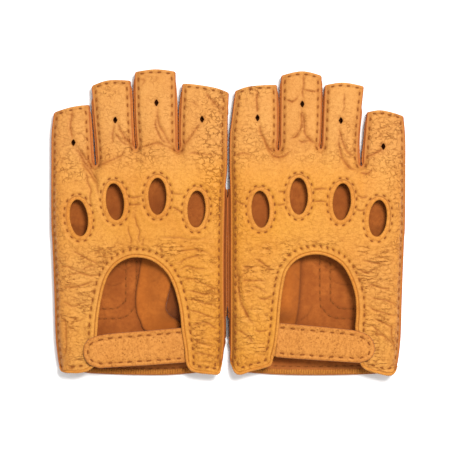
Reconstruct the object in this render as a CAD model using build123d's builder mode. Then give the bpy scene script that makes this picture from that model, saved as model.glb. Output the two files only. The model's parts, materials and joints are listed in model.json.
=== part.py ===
"""A pair of fingerless leather driving gloves, lying flat with their backs up.

Millimetres. +Z is up, +Y runs from the wrists to the fingertips, and the thumb sides face each other across
X = 0. Every outline is drawn for the right glove: u is the distance outward from the middle of the pair and v
the distance up from the palm's wrist edge. The left glove is the mirror image of the right one.
"""

import os

from build123d import *

# Leather and overall size
LENGTH = 190.0  # wrist edge of the palm to the top of the middle finger
LEATHER = 1.0  # one layer of hide
TRIM = 0.9  # patches and linings are a little thinner
GAP = 0.3  # clearance between pieces that move past each other

# Heights above the surface that the pair lies on
BASE_Z = TRIM  # the palm leather lies on its patch
HAND_TOP = 14.4
FINGER_TOP = 10.9
SEAM_Z = 8.0  # where the back shell and the palm shell meet
HAND_ROUND = 3.5
FINGER_ROUND = 2.6
FINGER_SLOPE = 17.0  # how far back from the finger creases the hand's back starts to slope down

# The thumb lies folded under the palm, in a pocket that the palm leather makes over it
THUMB_TOP = 6.4
POCKET_TOP = THUMB_TOP + 0.4
POCKET_U = 39.5
POCKET_V = (40.0, 119.5)
THUMB_LEATHER = 0.9

# Fingers: name, base u low and high, base v, tip corners on the thumb side and far side, top of the tip's arc
CUT_V = 141.0  # crease between the hand and the three long fingers
LITTLE_CUT_V = 131.0
FINGERS = {
    "index": ((1.2, 30.0), CUT_V, (2.2, 176.0), (29.2, 180.5), (16.0, 179.6)),
    "middle": ((32.6, 56.6), CUT_V, (32.9, 187.3), (57.6, 187.0), (45.0, LENGTH)),
    "ring": ((58.8, 80.8), CUT_V, (60.2, 181.2), (83.8, 179.6), (72.0, 182.6)),
    "little": ((84.2, 109.0), LITTLE_CUT_V, (86.0, 165.5), (108.0, 162.3), (96.5, 166.2)),
}
FOURCHETTE_LOW, FOURCHETTE_HIGH = 3.9, 7.9  # the gusset strip's height range in a finger's side
VENTS = {"index": (17.0, 159.2), "middle": (44.9, 168.5), "ring": (69.5, 158.0), "little": (95.5, 143.0)}
VENT_HALF_WIDTH, VENT_HALF_HEIGHT = 1.1, 1.9

# Knuckle holes: centre and lean in degrees, anticlockwise positive
KNUCKLES = {
    "index": (19.9, 103.2, 3.5),
    "middle": (43.4, 111.2, 0.0),
    "ring": (69.8, 107.8, -6.0),
    "little": (92.0, 97.8, -7.0),
}
KNUCKLE_HALF_WIDTH, KNUCKLE_HALF_HEIGHT = 5.5, 11.3

# The arched opening over the wrist, between the back's two flaps
BINDING = 1.6  # width of the rolled binding inside every opening's edge
BINDING_PROUD = 0.2
FLAP_V = 2.6  # the flaps end a little short of the palm's edge
ARCH_THUMB_LEG = ((26.2, 0.0), (26.9, 10.0), (28.5, 30.0))
ARCH_DOME = ((31.8, 50.0), (38.5, 66.8), (54.5, 74.5), (69.8, 68.5), (77.6, 51.0))
ARCH_FAR_LEG = ((80.0, 30.0), (81.6, 10.0), (82.0, 0.0))

# Wrist strap: runs from its root under the thumb-side flap, over the far flap
STRAP_WIDTH = 20.6
STRAP_START = (28.2, 20.6)  # on the strap's middle line, at the hinge
STRAP_LEAN = -4.2  # degrees, in plan
STRAP_RISE = 4.2  # degrees, from the horizontal
STRAP_LENGTH = 61.5
STRAP_START_Z = 11.4
STRAP_ROOT_DEPTH = 13.0
LOOP_LAYER, HOOK_LAYER = 0.4, 0.35
PATCH_LENGTH, PATCH_WIDTH, PATCH_CORNER = 4.4, 12.0, 1.5
LOOP_PATCH_AT = (85.2, 16.6)  # under the strap's rounded end

# Palm patch, sewn under the palm on the side away from the thumb
PALM_PATCH = ((55.5, 34.0), (103.5, 124.0))
PALM_PATCH_CORNER = 14.0


def plan(z):
    """A horizontal sketch plane whose origin is the middle of the pair at the palm's wrist edge."""
    return Plane(origin=(0, -LENGTH / 2, z))


def save(part, name):
    """Writes a right-hand piece and its left-hand mirror image."""
    for side, shape in (("right", part), ("left", mirror(part, about=Plane.YZ))):
        shape.label = f"{side}_{name}"
        export_step(shape, f"parts/{side}_{name}.step")


def hand_outline(inset=0.0):
    """The flat shape of the hand, from the wrist edge to the finger creases."""
    low, web = inset, inset * 0.5
    with BuildLine() as line:
        Polyline((2.4 + low, 9.0), (6.6 + low, 0.0), (101.5 - low, 0.0), (105.0 - low, 9.0))
        Spline((105.0 - low, 9.0), (107.4 - low, 60.0), (109.2 - low, 102.0), (109.0 - low, LITTLE_CUT_V - low))
        Polyline(
            (109.0 - low, LITTLE_CUT_V - low),
            (83.6 + web, LITTLE_CUT_V - low),
            (81.4 - web, LITTLE_CUT_V - low),
            (80.8 - low, CUT_V - low),
            (1.2 + low, CUT_V - low),
        )
        Spline((1.2 + low, CUT_V - low), (1.3 + low, 118.0), (2.2 + low, 70.0), (2.4 + low, 9.0))
    return line


def slope(drop=0.0):
    """The wedges above the hand's back, from where it slopes down to the level of the fingers."""
    with BuildPart() as wedges:
        for cut, from_u, to_u in ((CUT_V, -5.0, 82.5), (LITTLE_CUT_V, 82.5, 115.0)):
            start = Plane(origin=(from_u, -LENGTH / 2, -drop), x_dir=(0, 1, 0), z_dir=(1, 0, 0))
            with BuildSketch(start):
                with BuildLine():
                    Polyline(
                        (cut - FINGER_SLOPE, HAND_TOP),
                        (cut, FINGER_TOP),
                        (cut + 20, FINGER_TOP),
                        (cut + 20, HAND_TOP + 5),
                        (cut - FINGER_SLOPE, HAND_TOP + 5),
                        close=True,
                    )
                make_face()
            extrude(amount=to_u - from_u)
    return wedges.part


def arch_outline(outset=0.0):
    """The edge of the wrist opening, from the wrist on the thumb side, over the dome and back."""
    middle = Vector(54.5, 34.0)
    near_leg = [Vector(u - outset, v) for u, v in ARCH_THUMB_LEG]
    far_leg = [Vector(u + outset, v) for u, v in ARCH_FAR_LEG]
    dome = [Vector(u, v) + (Vector(u, v) - middle).normalized() * outset for u, v in ARCH_DOME]
    with BuildLine() as line:
        Spline(*near_leg, *dome, *far_leg)
        Line(far_leg[-1], near_leg[0])
    return line


def finger_outline(name, inset=0.0, run_past=0.0):
    """A finger's flat shape: straight sides that lean a little, and a curved tip. run_past lengthens both ends."""
    (low, high), cut, near_tip, far_tip, top = FINGERS[name]
    with BuildLine() as line:
        Line((low + inset, cut - run_past), (high - inset, cut - run_past))
        Line((high - inset, cut - run_past), (far_tip[0] - inset, far_tip[1] + run_past))
        ThreePointArc(
            (far_tip[0] - inset, far_tip[1] + run_past),
            (top[0], top[1] + run_past),
            (near_tip[0] + inset, near_tip[1] + run_past),
        )
        Line((near_tip[0] + inset, near_tip[1] + run_past), (low + inset, cut - run_past))
    return line


def lengthwise(edges):
    """The edges that run along the glove rather than across it or upward."""
    return edges.filter_by(lambda e: abs((e @ 1 - e @ 0).Y) > 0.9 * (e @ 1 - e @ 0).length)


def finger_bore(name):
    """The space inside a finger, run past both of its ends."""
    with BuildPart() as bore:
        with BuildSketch(plan(BASE_Z + LEATHER)):
            add(finger_outline(name, LEATHER, 6.0).line)
            make_face()
        extrude(amount=FINGER_TOP - BASE_Z - 2 * LEATHER)
        fillet(lengthwise(bore.edges()), FINGER_ROUND - LEATHER)
    return bore.part


def finger_tube(name):
    """The whole leather tube of a finger, which is then cut along its seams."""
    with BuildPart() as tube:
        with BuildSketch(plan(BASE_Z)):
            add(finger_outline(name).line)
            make_face()
        extrude(amount=FINGER_TOP - BASE_Z)
        fillet(lengthwise(tube.edges()), FINGER_ROUND)
        add(bores[name], mode=Mode.SUBTRACT)
        # The hinge crease keeps the finger clear of the hand.
        with BuildSketch(plan(0)):
            with Locations((0, FINGERS[name][1])):
                Rectangle(300, 2 * GAP)
        extrude(amount=HAND_TOP, mode=Mode.SUBTRACT)
    return tube.part


def side_block(name, near_side, low, high):
    """A block over one side of a finger, between two heights."""
    (base_low, base_high), cut = FINGERS[name][:2]
    middle = (base_low + base_high) / 2
    with BuildPart() as block:
        with BuildSketch(plan(low)):
            with Locations((middle + (-50 if near_side else 50), cut + 25)):
                Rectangle(100, 100)
        extrude(amount=high - low)
    return block.part


os.makedirs("parts", exist_ok=True)
bores = {name: finger_bore(name) for name in FINGERS}

# --- Fingers: a back strip, a palm strip and the gusset strips sewn between them ---
for name in FINGERS:
    tube = finger_tube(name)
    gusset_sides = {"index": (False,), "middle": (True, False), "ring": (True, False), "little": (True,)}[name]
    vent_u, vent_v = VENTS[name]

    with BuildPart() as finger_back:
        add(tube)
        split(bisect_by=Plane.XY.offset(FOURCHETTE_HIGH), keep=Keep.TOP)
        with BuildSketch(plan(FOURCHETTE_HIGH)):
            with BuildLine():
                Polyline(
                    (vent_u - VENT_HALF_WIDTH, vent_v),
                    (vent_u, vent_v + VENT_HALF_HEIGHT),
                    (vent_u + VENT_HALF_WIDTH, vent_v),
                    (vent_u, vent_v - VENT_HALF_HEIGHT),
                    close=True,
                )
            make_face()
        extrude(amount=FINGER_TOP, mode=Mode.SUBTRACT)
    save(finger_back.part, f"{name}_finger_back")

    with BuildPart() as finger_palm:
        add(tube)
        split(bisect_by=Plane.XY.offset(FOURCHETTE_HIGH), keep=Keep.BOTTOM)
        for near_side in gusset_sides:
            add(side_block(name, near_side, FOURCHETTE_LOW, FOURCHETTE_HIGH), mode=Mode.SUBTRACT)
    save(finger_palm.part, f"{name}_finger_palm")

    for near_side in gusset_sides:
        with BuildPart() as fourchette:
            add(tube)
            add(side_block(name, near_side, FOURCHETTE_LOW, FOURCHETTE_HIGH), mode=Mode.INTERSECT)
        save(fourchette.part, f"{name}_fourchette_{'thumb_side' if near_side else 'far_side'}")

# --- Hand: one hollow shell, cut into back and palm ---
with BuildPart() as hand_core:
    with BuildSketch(plan(BASE_Z + LEATHER)):
        add(hand_outline(LEATHER).line)
        make_face()
    extrude(amount=HAND_TOP - BASE_Z - 2 * LEATHER)
    fillet(lengthwise(hand_core.edges()).filter_by(lambda e: e.length > 60), HAND_ROUND - LEATHER)
    # The cavity runs out through the wrist.
    with BuildSketch(plan(BASE_Z + LEATHER)):
        with BuildLine():
            Polyline((7.9, -5), (100.2, -5), (100.2, 12), (7.9, 12), close=True)
        make_face()
    extrude(amount=HAND_TOP - BASE_Z - 2 * LEATHER)
    # The pocket over the folded thumb stands up into the cavity.
    with BuildSketch(plan(0)):
        with BuildLine():
            Polyline(
                (-1, POCKET_V[0] - LEATHER),
                (POCKET_U + LEATHER, POCKET_V[0] - LEATHER),
                (POCKET_U + LEATHER, POCKET_V[1] + LEATHER),
                (-1, POCKET_V[1] + LEATHER),
                close=True,
            )
        make_face()
    extrude(amount=POCKET_TOP + LEATHER, mode=Mode.SUBTRACT)
    add(slope(LEATHER), mode=Mode.SUBTRACT)

with BuildPart() as hand:
    with BuildSketch(plan(BASE_Z)):
        add(hand_outline().line)
        make_face()
    extrude(amount=HAND_TOP - BASE_Z)
    fillet(lengthwise(hand.edges()).filter_by(lambda e: e.length > 60), HAND_ROUND)
    add(slope(), mode=Mode.SUBTRACT)
    add(hand_core.part, mode=Mode.SUBTRACT)
    for bore in bores.values():
        add(bore, mode=Mode.SUBTRACT)

with BuildPart() as palm_hand:
    add(hand.part)
    split(bisect_by=Plane.XY.offset(SEAM_Z), keep=Keep.BOTTOM)
    # The room that the thumb lies in, open below and on the thumb side
    with BuildSketch(plan(0)):
        with BuildLine():
            Polyline(
                (-1, POCKET_V[0]),
                (POCKET_U, POCKET_V[0]),
                (POCKET_U, POCKET_V[1]),
                (-1, POCKET_V[1]),
                close=True,
            )
        make_face()
    extrude(amount=POCKET_TOP, mode=Mode.SUBTRACT)
    # The thumb's mouth, through the pocket's wrist-side wall
    with BuildSketch(plan(BASE_Z + LEATHER)):
        with Locations(((3.6 + 35.5) / 2, POCKET_V[0])):
            Rectangle(35.5 - 3.6, 6.0)
    extrude(amount=THUMB_TOP - BASE_Z - LEATHER, mode=Mode.SUBTRACT)
save(palm_hand.part, "palm")

with BuildPart() as back_hand:
    add(hand.part)
    split(bisect_by=Plane.XY.offset(SEAM_Z), keep=Keep.TOP)
    # Wrist opening, cut back to leave room for its binding
    with BuildSketch(plan(SEAM_Z)):
        add(arch_outline(BINDING).line)
        make_face()
    extrude(amount=HAND_TOP, mode=Mode.SUBTRACT)
    # Flaps end short of the palm's edge
    with BuildSketch(plan(SEAM_Z)):
        with Locations((55, FLAP_V - 20)):
            Rectangle(200, 40)
    extrude(amount=HAND_TOP, mode=Mode.SUBTRACT)
    # Knuckle holes, with room for their bindings
    with BuildSketch(plan(SEAM_Z)):
        for u, v, lean in KNUCKLES.values():
            with Locations(Location((u, v, 0), (0, 0, lean))):
                Ellipse(KNUCKLE_HALF_WIDTH + BINDING, KNUCKLE_HALF_HEIGHT + BINDING)
    extrude(amount=HAND_TOP, mode=Mode.SUBTRACT)
save(back_hand.part, "back")

# --- Rolled bindings inside the openings' edges ---
with BuildPart() as arch_binding:
    with BuildSketch(plan(HAND_TOP - LEATHER - BINDING_PROUD)):
        add(arch_outline(BINDING).line)
        make_face()
        with BuildLine():
            add(arch_outline().line)
        make_face(mode=Mode.SUBTRACT)
        with Locations((55, FLAP_V - 20)):
            Rectangle(200, 40, mode=Mode.SUBTRACT)
    extrude(amount=LEATHER + 2 * BINDING_PROUD)
save(arch_binding.part, "arch_binding")

with BuildPart() as knuckle_bindings:
    with BuildSketch(plan(HAND_TOP - LEATHER - BINDING_PROUD)):
        for u, v, lean in KNUCKLES.values():
            with Locations(Location((u, v, 0), (0, 0, lean))):
                Ellipse(KNUCKLE_HALF_WIDTH + BINDING, KNUCKLE_HALF_HEIGHT + BINDING)
                Ellipse(KNUCKLE_HALF_WIDTH, KNUCKLE_HALF_HEIGHT, mode=Mode.SUBTRACT)
    extrude(amount=LEATHER + 2 * BINDING_PROUD)
save(knuckle_bindings.part, "knuckle_bindings")

# --- Wrist strap: root, outer layer, lining and the two halves of its hook-and-loop closure ---
strap_x, strap_v = STRAP_START
strap_plane = Plane(
    origin=(strap_x, strap_v - LENGTH / 2, STRAP_START_Z)
).rotated((0, -STRAP_RISE, STRAP_LEAN), ordering=Extrinsic.XYZ)
half_width = STRAP_WIDTH / 2


def strap_outline():
    """The strap's flat shape: square at its hinge and rounded at its free end."""
    body = STRAP_LENGTH - half_width
    with BuildLine() as line:
        Polyline((body, half_width), (0, half_width), (0, -half_width), (body, -half_width))
        ThreePointArc((body, -half_width), (STRAP_LENGTH, 0), (body, half_width))
    return line


with BuildPart() as strap_lining:
    with BuildSketch(strap_plane):
        add(strap_outline().line)
        make_face()
    extrude(amount=TRIM)
save(strap_lining.part, "strap_lining")

with BuildPart() as strap:
    with BuildSketch(strap_plane.offset(TRIM)):
        add(strap_outline().line)
        make_face()
    extrude(amount=TRIM)
save(strap.part, "strap")

with BuildPart() as strap_hook_patch:
    with BuildSketch(strap_plane):
        with Locations((STRAP_LENGTH - 2 - PATCH_LENGTH / 2, 0)):
            RectangleRounded(PATCH_LENGTH, PATCH_WIDTH, PATCH_CORNER)
    extrude(amount=-HOOK_LAYER)
save(strap_hook_patch.part, "strap_hook_patch")

with BuildPart() as loop_patch:
    with BuildSketch(plan(HAND_TOP)):
        with Locations(LOOP_PATCH_AT):
            RectangleRounded(PATCH_LENGTH, PATCH_WIDTH, PATCH_CORNER)
    extrude(amount=LOOP_LAYER)
save(loop_patch.part, "loop_patch")

with BuildPart() as strap_root:
    with BuildSketch(plan(HAND_TOP - LEATHER - 0.2 - 2 * TRIM)):
        with Locations((strap_x - 2.4 - STRAP_ROOT_DEPTH / 2, strap_v + 0.5)):
            Rectangle(STRAP_ROOT_DEPTH, STRAP_WIDTH - 2)
    extrude(amount=2 * TRIM)
save(strap_root.part, "strap_root")

# --- Palm patch, with one rounded corner towards the wrist and thumb ---
(patch_low_u, patch_low_v), (patch_high_u, patch_high_v) = PALM_PATCH
with BuildPart() as palm_patch:
    with BuildSketch(plan(0)):
        with BuildLine():
            Polyline(
                (patch_low_u, patch_high_v),
                (patch_low_u, patch_low_v),
                (patch_high_u - 1, patch_low_v),
                (patch_high_u, patch_high_v),
                close=True,
            )
        make_face()
    extrude(amount=TRIM)
    corner = palm_patch.edges().filter_by(Axis.Z).sort_by_distance((patch_low_u, patch_low_v - LENGTH / 2, 0))[0]
    fillet(corner, PALM_PATCH_CORNER)
save(palm_patch.part, "palm_patch")

# --- Thumb: a flattened tube, open at its base and at its tip ---
with BuildPart() as thumb_bore:
    with BuildSketch(plan(THUMB_LEATHER)):
        with BuildLine():
            Polyline((1.6, 34), (36.2, 34), (30.2, 125), (2.0, 125), close=True)
        make_face()
    extrude(amount=THUMB_TOP - 2 * THUMB_LEATHER)

with BuildPart() as thumb:
    with BuildSketch(plan(0)):
        with BuildLine():
            Polyline((0.5, 40.4), (37.2, 40.4), (31.2, 117.2), (0.9, 115.2), close=True)
        make_face()
    extrude(amount=THUMB_TOP)
    fillet(lengthwise(thumb.edges()), 0.8)
    add(thumb_bore.part, mode=Mode.SUBTRACT)
save(thumb.part, "thumb")

# The gusset inside the thumb's seam lies on the pocket's top, where the thumb joins the palm.
with BuildPart() as thumb_gusset:
    with BuildSketch(plan(POCKET_TOP + LEATHER)):
        with BuildLine():
            Line((POCKET_U, 42.0), (POCKET_U, 82.0))
            ThreePointArc((POCKET_U, 82.0), (POCKET_U - 9.0, 62.0), (POCKET_U, 42.0))
        make_face()
    extrude(amount=TRIM)
save(thumb_gusset.part, "thumb_gusset")
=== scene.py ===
"""The looks of a pair of fingerless tan leather driving gloves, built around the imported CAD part.

Shapes are worked out in millimetres, in each glove's own flat plan: u is the distance outward from the middle
of the pair, v the distance up from the palm's wrist edge, z the height above the floor. place() turns these
into the row frame in metres; the left glove is on the -X side.
"""

import json

import bpy
import numpy as np
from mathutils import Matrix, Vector
from mathutils.geometry import delaunay_2d_cdt


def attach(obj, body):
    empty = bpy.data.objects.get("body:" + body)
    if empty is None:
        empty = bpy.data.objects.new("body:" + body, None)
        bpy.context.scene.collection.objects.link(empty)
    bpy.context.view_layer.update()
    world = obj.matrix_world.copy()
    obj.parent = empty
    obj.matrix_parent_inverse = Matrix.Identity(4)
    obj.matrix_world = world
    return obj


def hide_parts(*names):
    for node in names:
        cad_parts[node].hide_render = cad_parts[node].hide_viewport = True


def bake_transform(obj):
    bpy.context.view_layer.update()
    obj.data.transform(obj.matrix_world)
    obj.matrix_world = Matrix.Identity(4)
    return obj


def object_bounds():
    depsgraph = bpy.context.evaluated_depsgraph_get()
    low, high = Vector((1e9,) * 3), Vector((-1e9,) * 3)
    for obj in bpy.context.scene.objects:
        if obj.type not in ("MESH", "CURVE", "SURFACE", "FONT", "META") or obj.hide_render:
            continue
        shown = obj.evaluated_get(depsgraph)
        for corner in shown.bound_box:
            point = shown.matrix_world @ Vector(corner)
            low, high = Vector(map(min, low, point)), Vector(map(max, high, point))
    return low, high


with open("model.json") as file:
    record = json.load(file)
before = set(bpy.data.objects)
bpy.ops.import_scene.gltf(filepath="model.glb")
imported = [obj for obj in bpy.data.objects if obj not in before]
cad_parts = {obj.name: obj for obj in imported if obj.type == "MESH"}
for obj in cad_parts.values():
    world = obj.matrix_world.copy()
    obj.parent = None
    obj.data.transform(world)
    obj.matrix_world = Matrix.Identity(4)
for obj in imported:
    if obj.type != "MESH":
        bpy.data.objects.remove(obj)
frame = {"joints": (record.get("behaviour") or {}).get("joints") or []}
cad_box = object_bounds()

MM = 0.001
WRIST_Y = cad_box[0][1] / MM  # the palm's wrist edge, in the row frame
SIDES = {"left": -1, "right": 1}
STEP = 0.95  # spacing of the leather's mesh
FINE_STEP = 0.62  # on the backs, whose wrinkles are modelled
EDGE_RINGS = (0.28, 0.65, 1.15)  # rows of mesh points beside an edge
LEATHER = 1.05
EDGE_SWELL = 0.3  # how far a cut edge bulges, as a share of the leather's thickness
CUT_SHADE = 0.45  # how much darker a cut edge is: the raw edge's own brown, with painted shade where it turns under
HIDDEN_CUT = {"index": 141.0, "middle": 141.0, "ring": 141.0, "little": 131.0}
FINGERS = tuple(HIDDEN_CUT)
BLEND = 11.0  # length beyond a finger's crease to the second point of its joint
UP = np.array([0.0, 0.0, 1.0])
rng = np.random.default_rng(7)

# ---------------------------------------------------------------- small geometry tools


def unit(vectors):
    return vectors / np.maximum(np.linalg.norm(vectors, axis=-1, keepdims=True), 1e-12)


def arc_length(line):
    """How far along a polyline each of its points is."""
    return np.r_[0, np.cumsum(np.linalg.norm(np.diff(line, axis=0), axis=1))]


def point_at(line, length, at):
    return np.column_stack([np.interp(at, length, line[:, k]) for k in range(line.shape[1])])


def resample(line, step):
    length = arc_length(line)
    return point_at(line, length, np.linspace(0, length[-1], max(1, round(length[-1] / step)) + 1))


def smooth(points, step=0.8):
    """A Catmull-Rom curve through the points, sampled every step mm."""
    p = np.array(points, float)
    q = np.vstack([2 * p[0] - p[1], p, 2 * p[-1] - p[-2]])
    t = np.linspace(0, 1, 24, endpoint=False)[:, None]
    parts = [
        0.5 * (2 * b + (c - a) * t + (2 * a - 5 * b + 4 * c - d) * t**2 + (3 * b - a - 3 * c + d) * t**3)
        for a, b, c, d in zip(q[:-3], q[1:-2], q[2:-1], q[3:])
    ]
    return resample(np.vstack([*parts, p[-1:]]), step)


def distance(points, line, closed=False):
    """Each point's distance to a polyline, and how far along the polyline its nearest point is."""
    line = np.vstack([line, line[:1]]) if closed else line
    best, along, run = np.full(len(points), 1e9), np.zeros(len(points)), 0.0
    for a, b in zip(line[:-1], line[1:]):
        d = b - a
        size = np.hypot(*d)
        if size < 1e-9:
            continue
        t = np.clip(((points - a) @ d) / size**2, 0, 1)
        gap = np.hypot(points[:, 0] - a[0] - t * d[0], points[:, 1] - a[1] - t * d[1])
        near = gap < best
        best[near], along[near] = gap[near], (run + t * size)[near]
        run += size
    return best, along


def nearest(points, lines, closed=False):
    """Each point's distance to the nearest of several polylines."""
    return np.min([distance(points, line, closed)[0] for line in lines], axis=0)


def inside(points, loop):
    x, y = points[:, 0], points[:, 1]
    hit = np.zeros(len(points), bool)
    for (x1, y1), (x2, y2) in zip(loop, np.roll(loop, -1, 0)):
        if y1 != y2:
            hit ^= ((y1 > y) != (y2 > y)) & (x < (x2 - x1) * (y - y1) / (y2 - y1) + x1)
    return hit


def outward(line):
    """Unit normals on the left of a polyline, which is the outer side of a glove's outline."""
    d = np.gradient(line, axis=0)
    return unit(np.column_stack([-d[:, 1], d[:, 0]]))


def loop_normals(loop):
    """Unit normals on the left of a closed outline."""
    step = np.roll(loop, -1, 0) - np.roll(loop, 1, 0)
    return unit(np.column_stack([-step[:, 1], step[:, 0]]))


def ellipse(u, v, half_u, half_v, lean, count=64):
    a = np.linspace(0, 2 * np.pi, count, endpoint=False)
    c, s = np.cos(np.radians(lean)), np.sin(np.radians(lean))
    x, y = half_u * np.cos(a), half_v * np.sin(a)
    return np.column_stack([u + c * x - s * y, v + s * x + c * y])


def ease(x, low, high):
    t = np.clip((x - low) / (high - low), 0, 1)
    return t * t * (3 - 2 * t)


def bell(x, centre, width):
    """A bump of height 1 at the centre, fading out over the width."""
    return np.exp(-(((x - centre) / width) ** 2))


def scatter(i, j, seed):
    """A fixed random number from 0 to 1 for each pair of whole numbers."""
    n = i * 374761393 + j * 668265263 + seed * 144269
    n = (n ^ (n >> 13)) * 1274126177
    return ((n ^ (n >> 16)) & 0xFFFF) / 65535


def noise(x, y, size, seed):
    """Smooth noise from -1 to 1 with features of the given size."""
    x, y = np.asarray(x) / size, np.asarray(y) / size
    xi, yi = np.floor(x).astype(np.int64), np.floor(y).astype(np.int64)
    fx, fy = x - xi, y - yi
    fx, fy = fx * fx * (3 - 2 * fx), fy * fy * (3 - 2 * fy)

    def corner(i, j):
        return 2 * scatter(xi + i, yi + j, seed) - 1

    low = corner(0, 0) * (1 - fx) + corner(1, 0) * fx
    return low * (1 - fy) + (corner(0, 1) * (1 - fx) + corner(1, 1) * fx) * fy


def line_noise(x, size, seed):
    return noise(x, x * 0, size, seed)


def layered_noise(x, y, size, seed):
    return sum(noise(x, y, size / 2**k, seed + k) / 2**k for k in range(3)) / 1.5


def cells(x, y, seed):
    """How far each point is from the border of its own irregular cell, in cells: 0 on the border."""
    xi, yi = np.floor(x).astype(np.int64), np.floor(y).astype(np.int64)
    first, second = np.full(np.shape(x), 9.0), np.full(np.shape(x), 9.0)
    for i in (-1, 0, 1):
        for j in (-1, 0, 1):
            a, b = xi + i, yi + j
            gap = np.hypot(a + scatter(a, b, seed) - x, b + scatter(a, b, seed + 7) - y)
            second = np.minimum(second, np.maximum(first, gap))
            first = np.minimum(first, gap)
    return second - first


# ---------------------------------------------------------------- materials


def hex_colour(text):
    c = np.array([int(text[i : i + 2], 16) / 255 for i in (0, 2, 4)])
    return (*np.where(c <= 0.04045, c / 12.92, ((c + 0.055) / 1.055) ** 2.4), 1.0)


class Nodes:
    """A material, and a short way to write its node tree."""

    def __init__(self, name):
        self.material = bpy.data.materials.new(name)
        self.material.use_nodes = True
        self.tree = self.material.node_tree
        self.shader = self.tree.nodes["Principled BSDF"]

    def add(self, kind, inputs=None, **settings):
        node = self.tree.nodes.new("ShaderNode" + kind)
        for key, value in settings.items():
            setattr(node, key, value)
        for key, value in (inputs or {}).items():
            self.put(node.inputs[key], value)
        return node

    def put(self, socket, value):
        if isinstance(value, bpy.types.NodeSocket):
            self.tree.links.new(value, socket)
        else:
            socket.default_value = value

    def math(self, operation, a, b, clamp=False):
        return self.add("Math", {0: a, 1: b}, operation=operation, use_clamp=clamp).outputs[0]

    def times(self, a, b, clamp=False):
        return self.math("MULTIPLY", a, b, clamp)

    def mix(self, factor, a, b, blend="MIX"):
        inputs = {"Factor": factor, 6: a, 7: b}
        return self.add("Mix", inputs, data_type="RGBA", blend_type=blend).outputs[2]

    def stain(self, colour, mask, strength, ink):
        """The colour, turned toward ink where the mask is, by at most the strength."""
        return self.mix(self.times(mask, strength, clamp=True), colour, ink)

    def attribute(self, name, output="Fac"):
        return self.add("Attribute", attribute_name=name).outputs[output]

    def noise(self, place, scale, detail=3.0, rough=0.55, output="Fac"):
        inputs = {"Vector": place, "Scale": scale, "Detail": detail, "Roughness": rough}
        return self.add("TexNoise", inputs).outputs[output]

    def stretch(self, place, scale):
        return self.add("Mapping", {"Vector": place, "Scale": scale}).outputs[0]

    def cells(self, place, scale, feature="F1"):
        return self.add("TexVoronoi", {"Vector": place, "Scale": scale}, feature=feature).outputs["Distance"]

    def band(self, value, low, high, to_low=0.0, to_high=1.0):
        inputs = {"Value": value, "From Min": low, "From Max": high, "To Min": to_low, "To Max": to_high}
        return self.add("MapRange", inputs).outputs[0]

    def finish(self, colour, height, depth, strength, constants, invert=False):
        """Wires the colour and the bump, and sets the shader's other sockets."""
        inputs = {"Height": height, "Distance": depth, "Strength": strength}
        bump = self.add("Bump", inputs, invert=invert).outputs[0]
        for key, value in {"Base Color": colour, "Normal": bump, **constants}.items():
            self.put(self.shader.inputs[key], value)
        return self.material


ATTRIBUTES = ("fold", "shade", "pebble", "wrinkle", "tint")
TO_YELLOW = (1.0, 0.91, 0.42, 1.0)
BUMP_DEPTH = 0.0003


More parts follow.
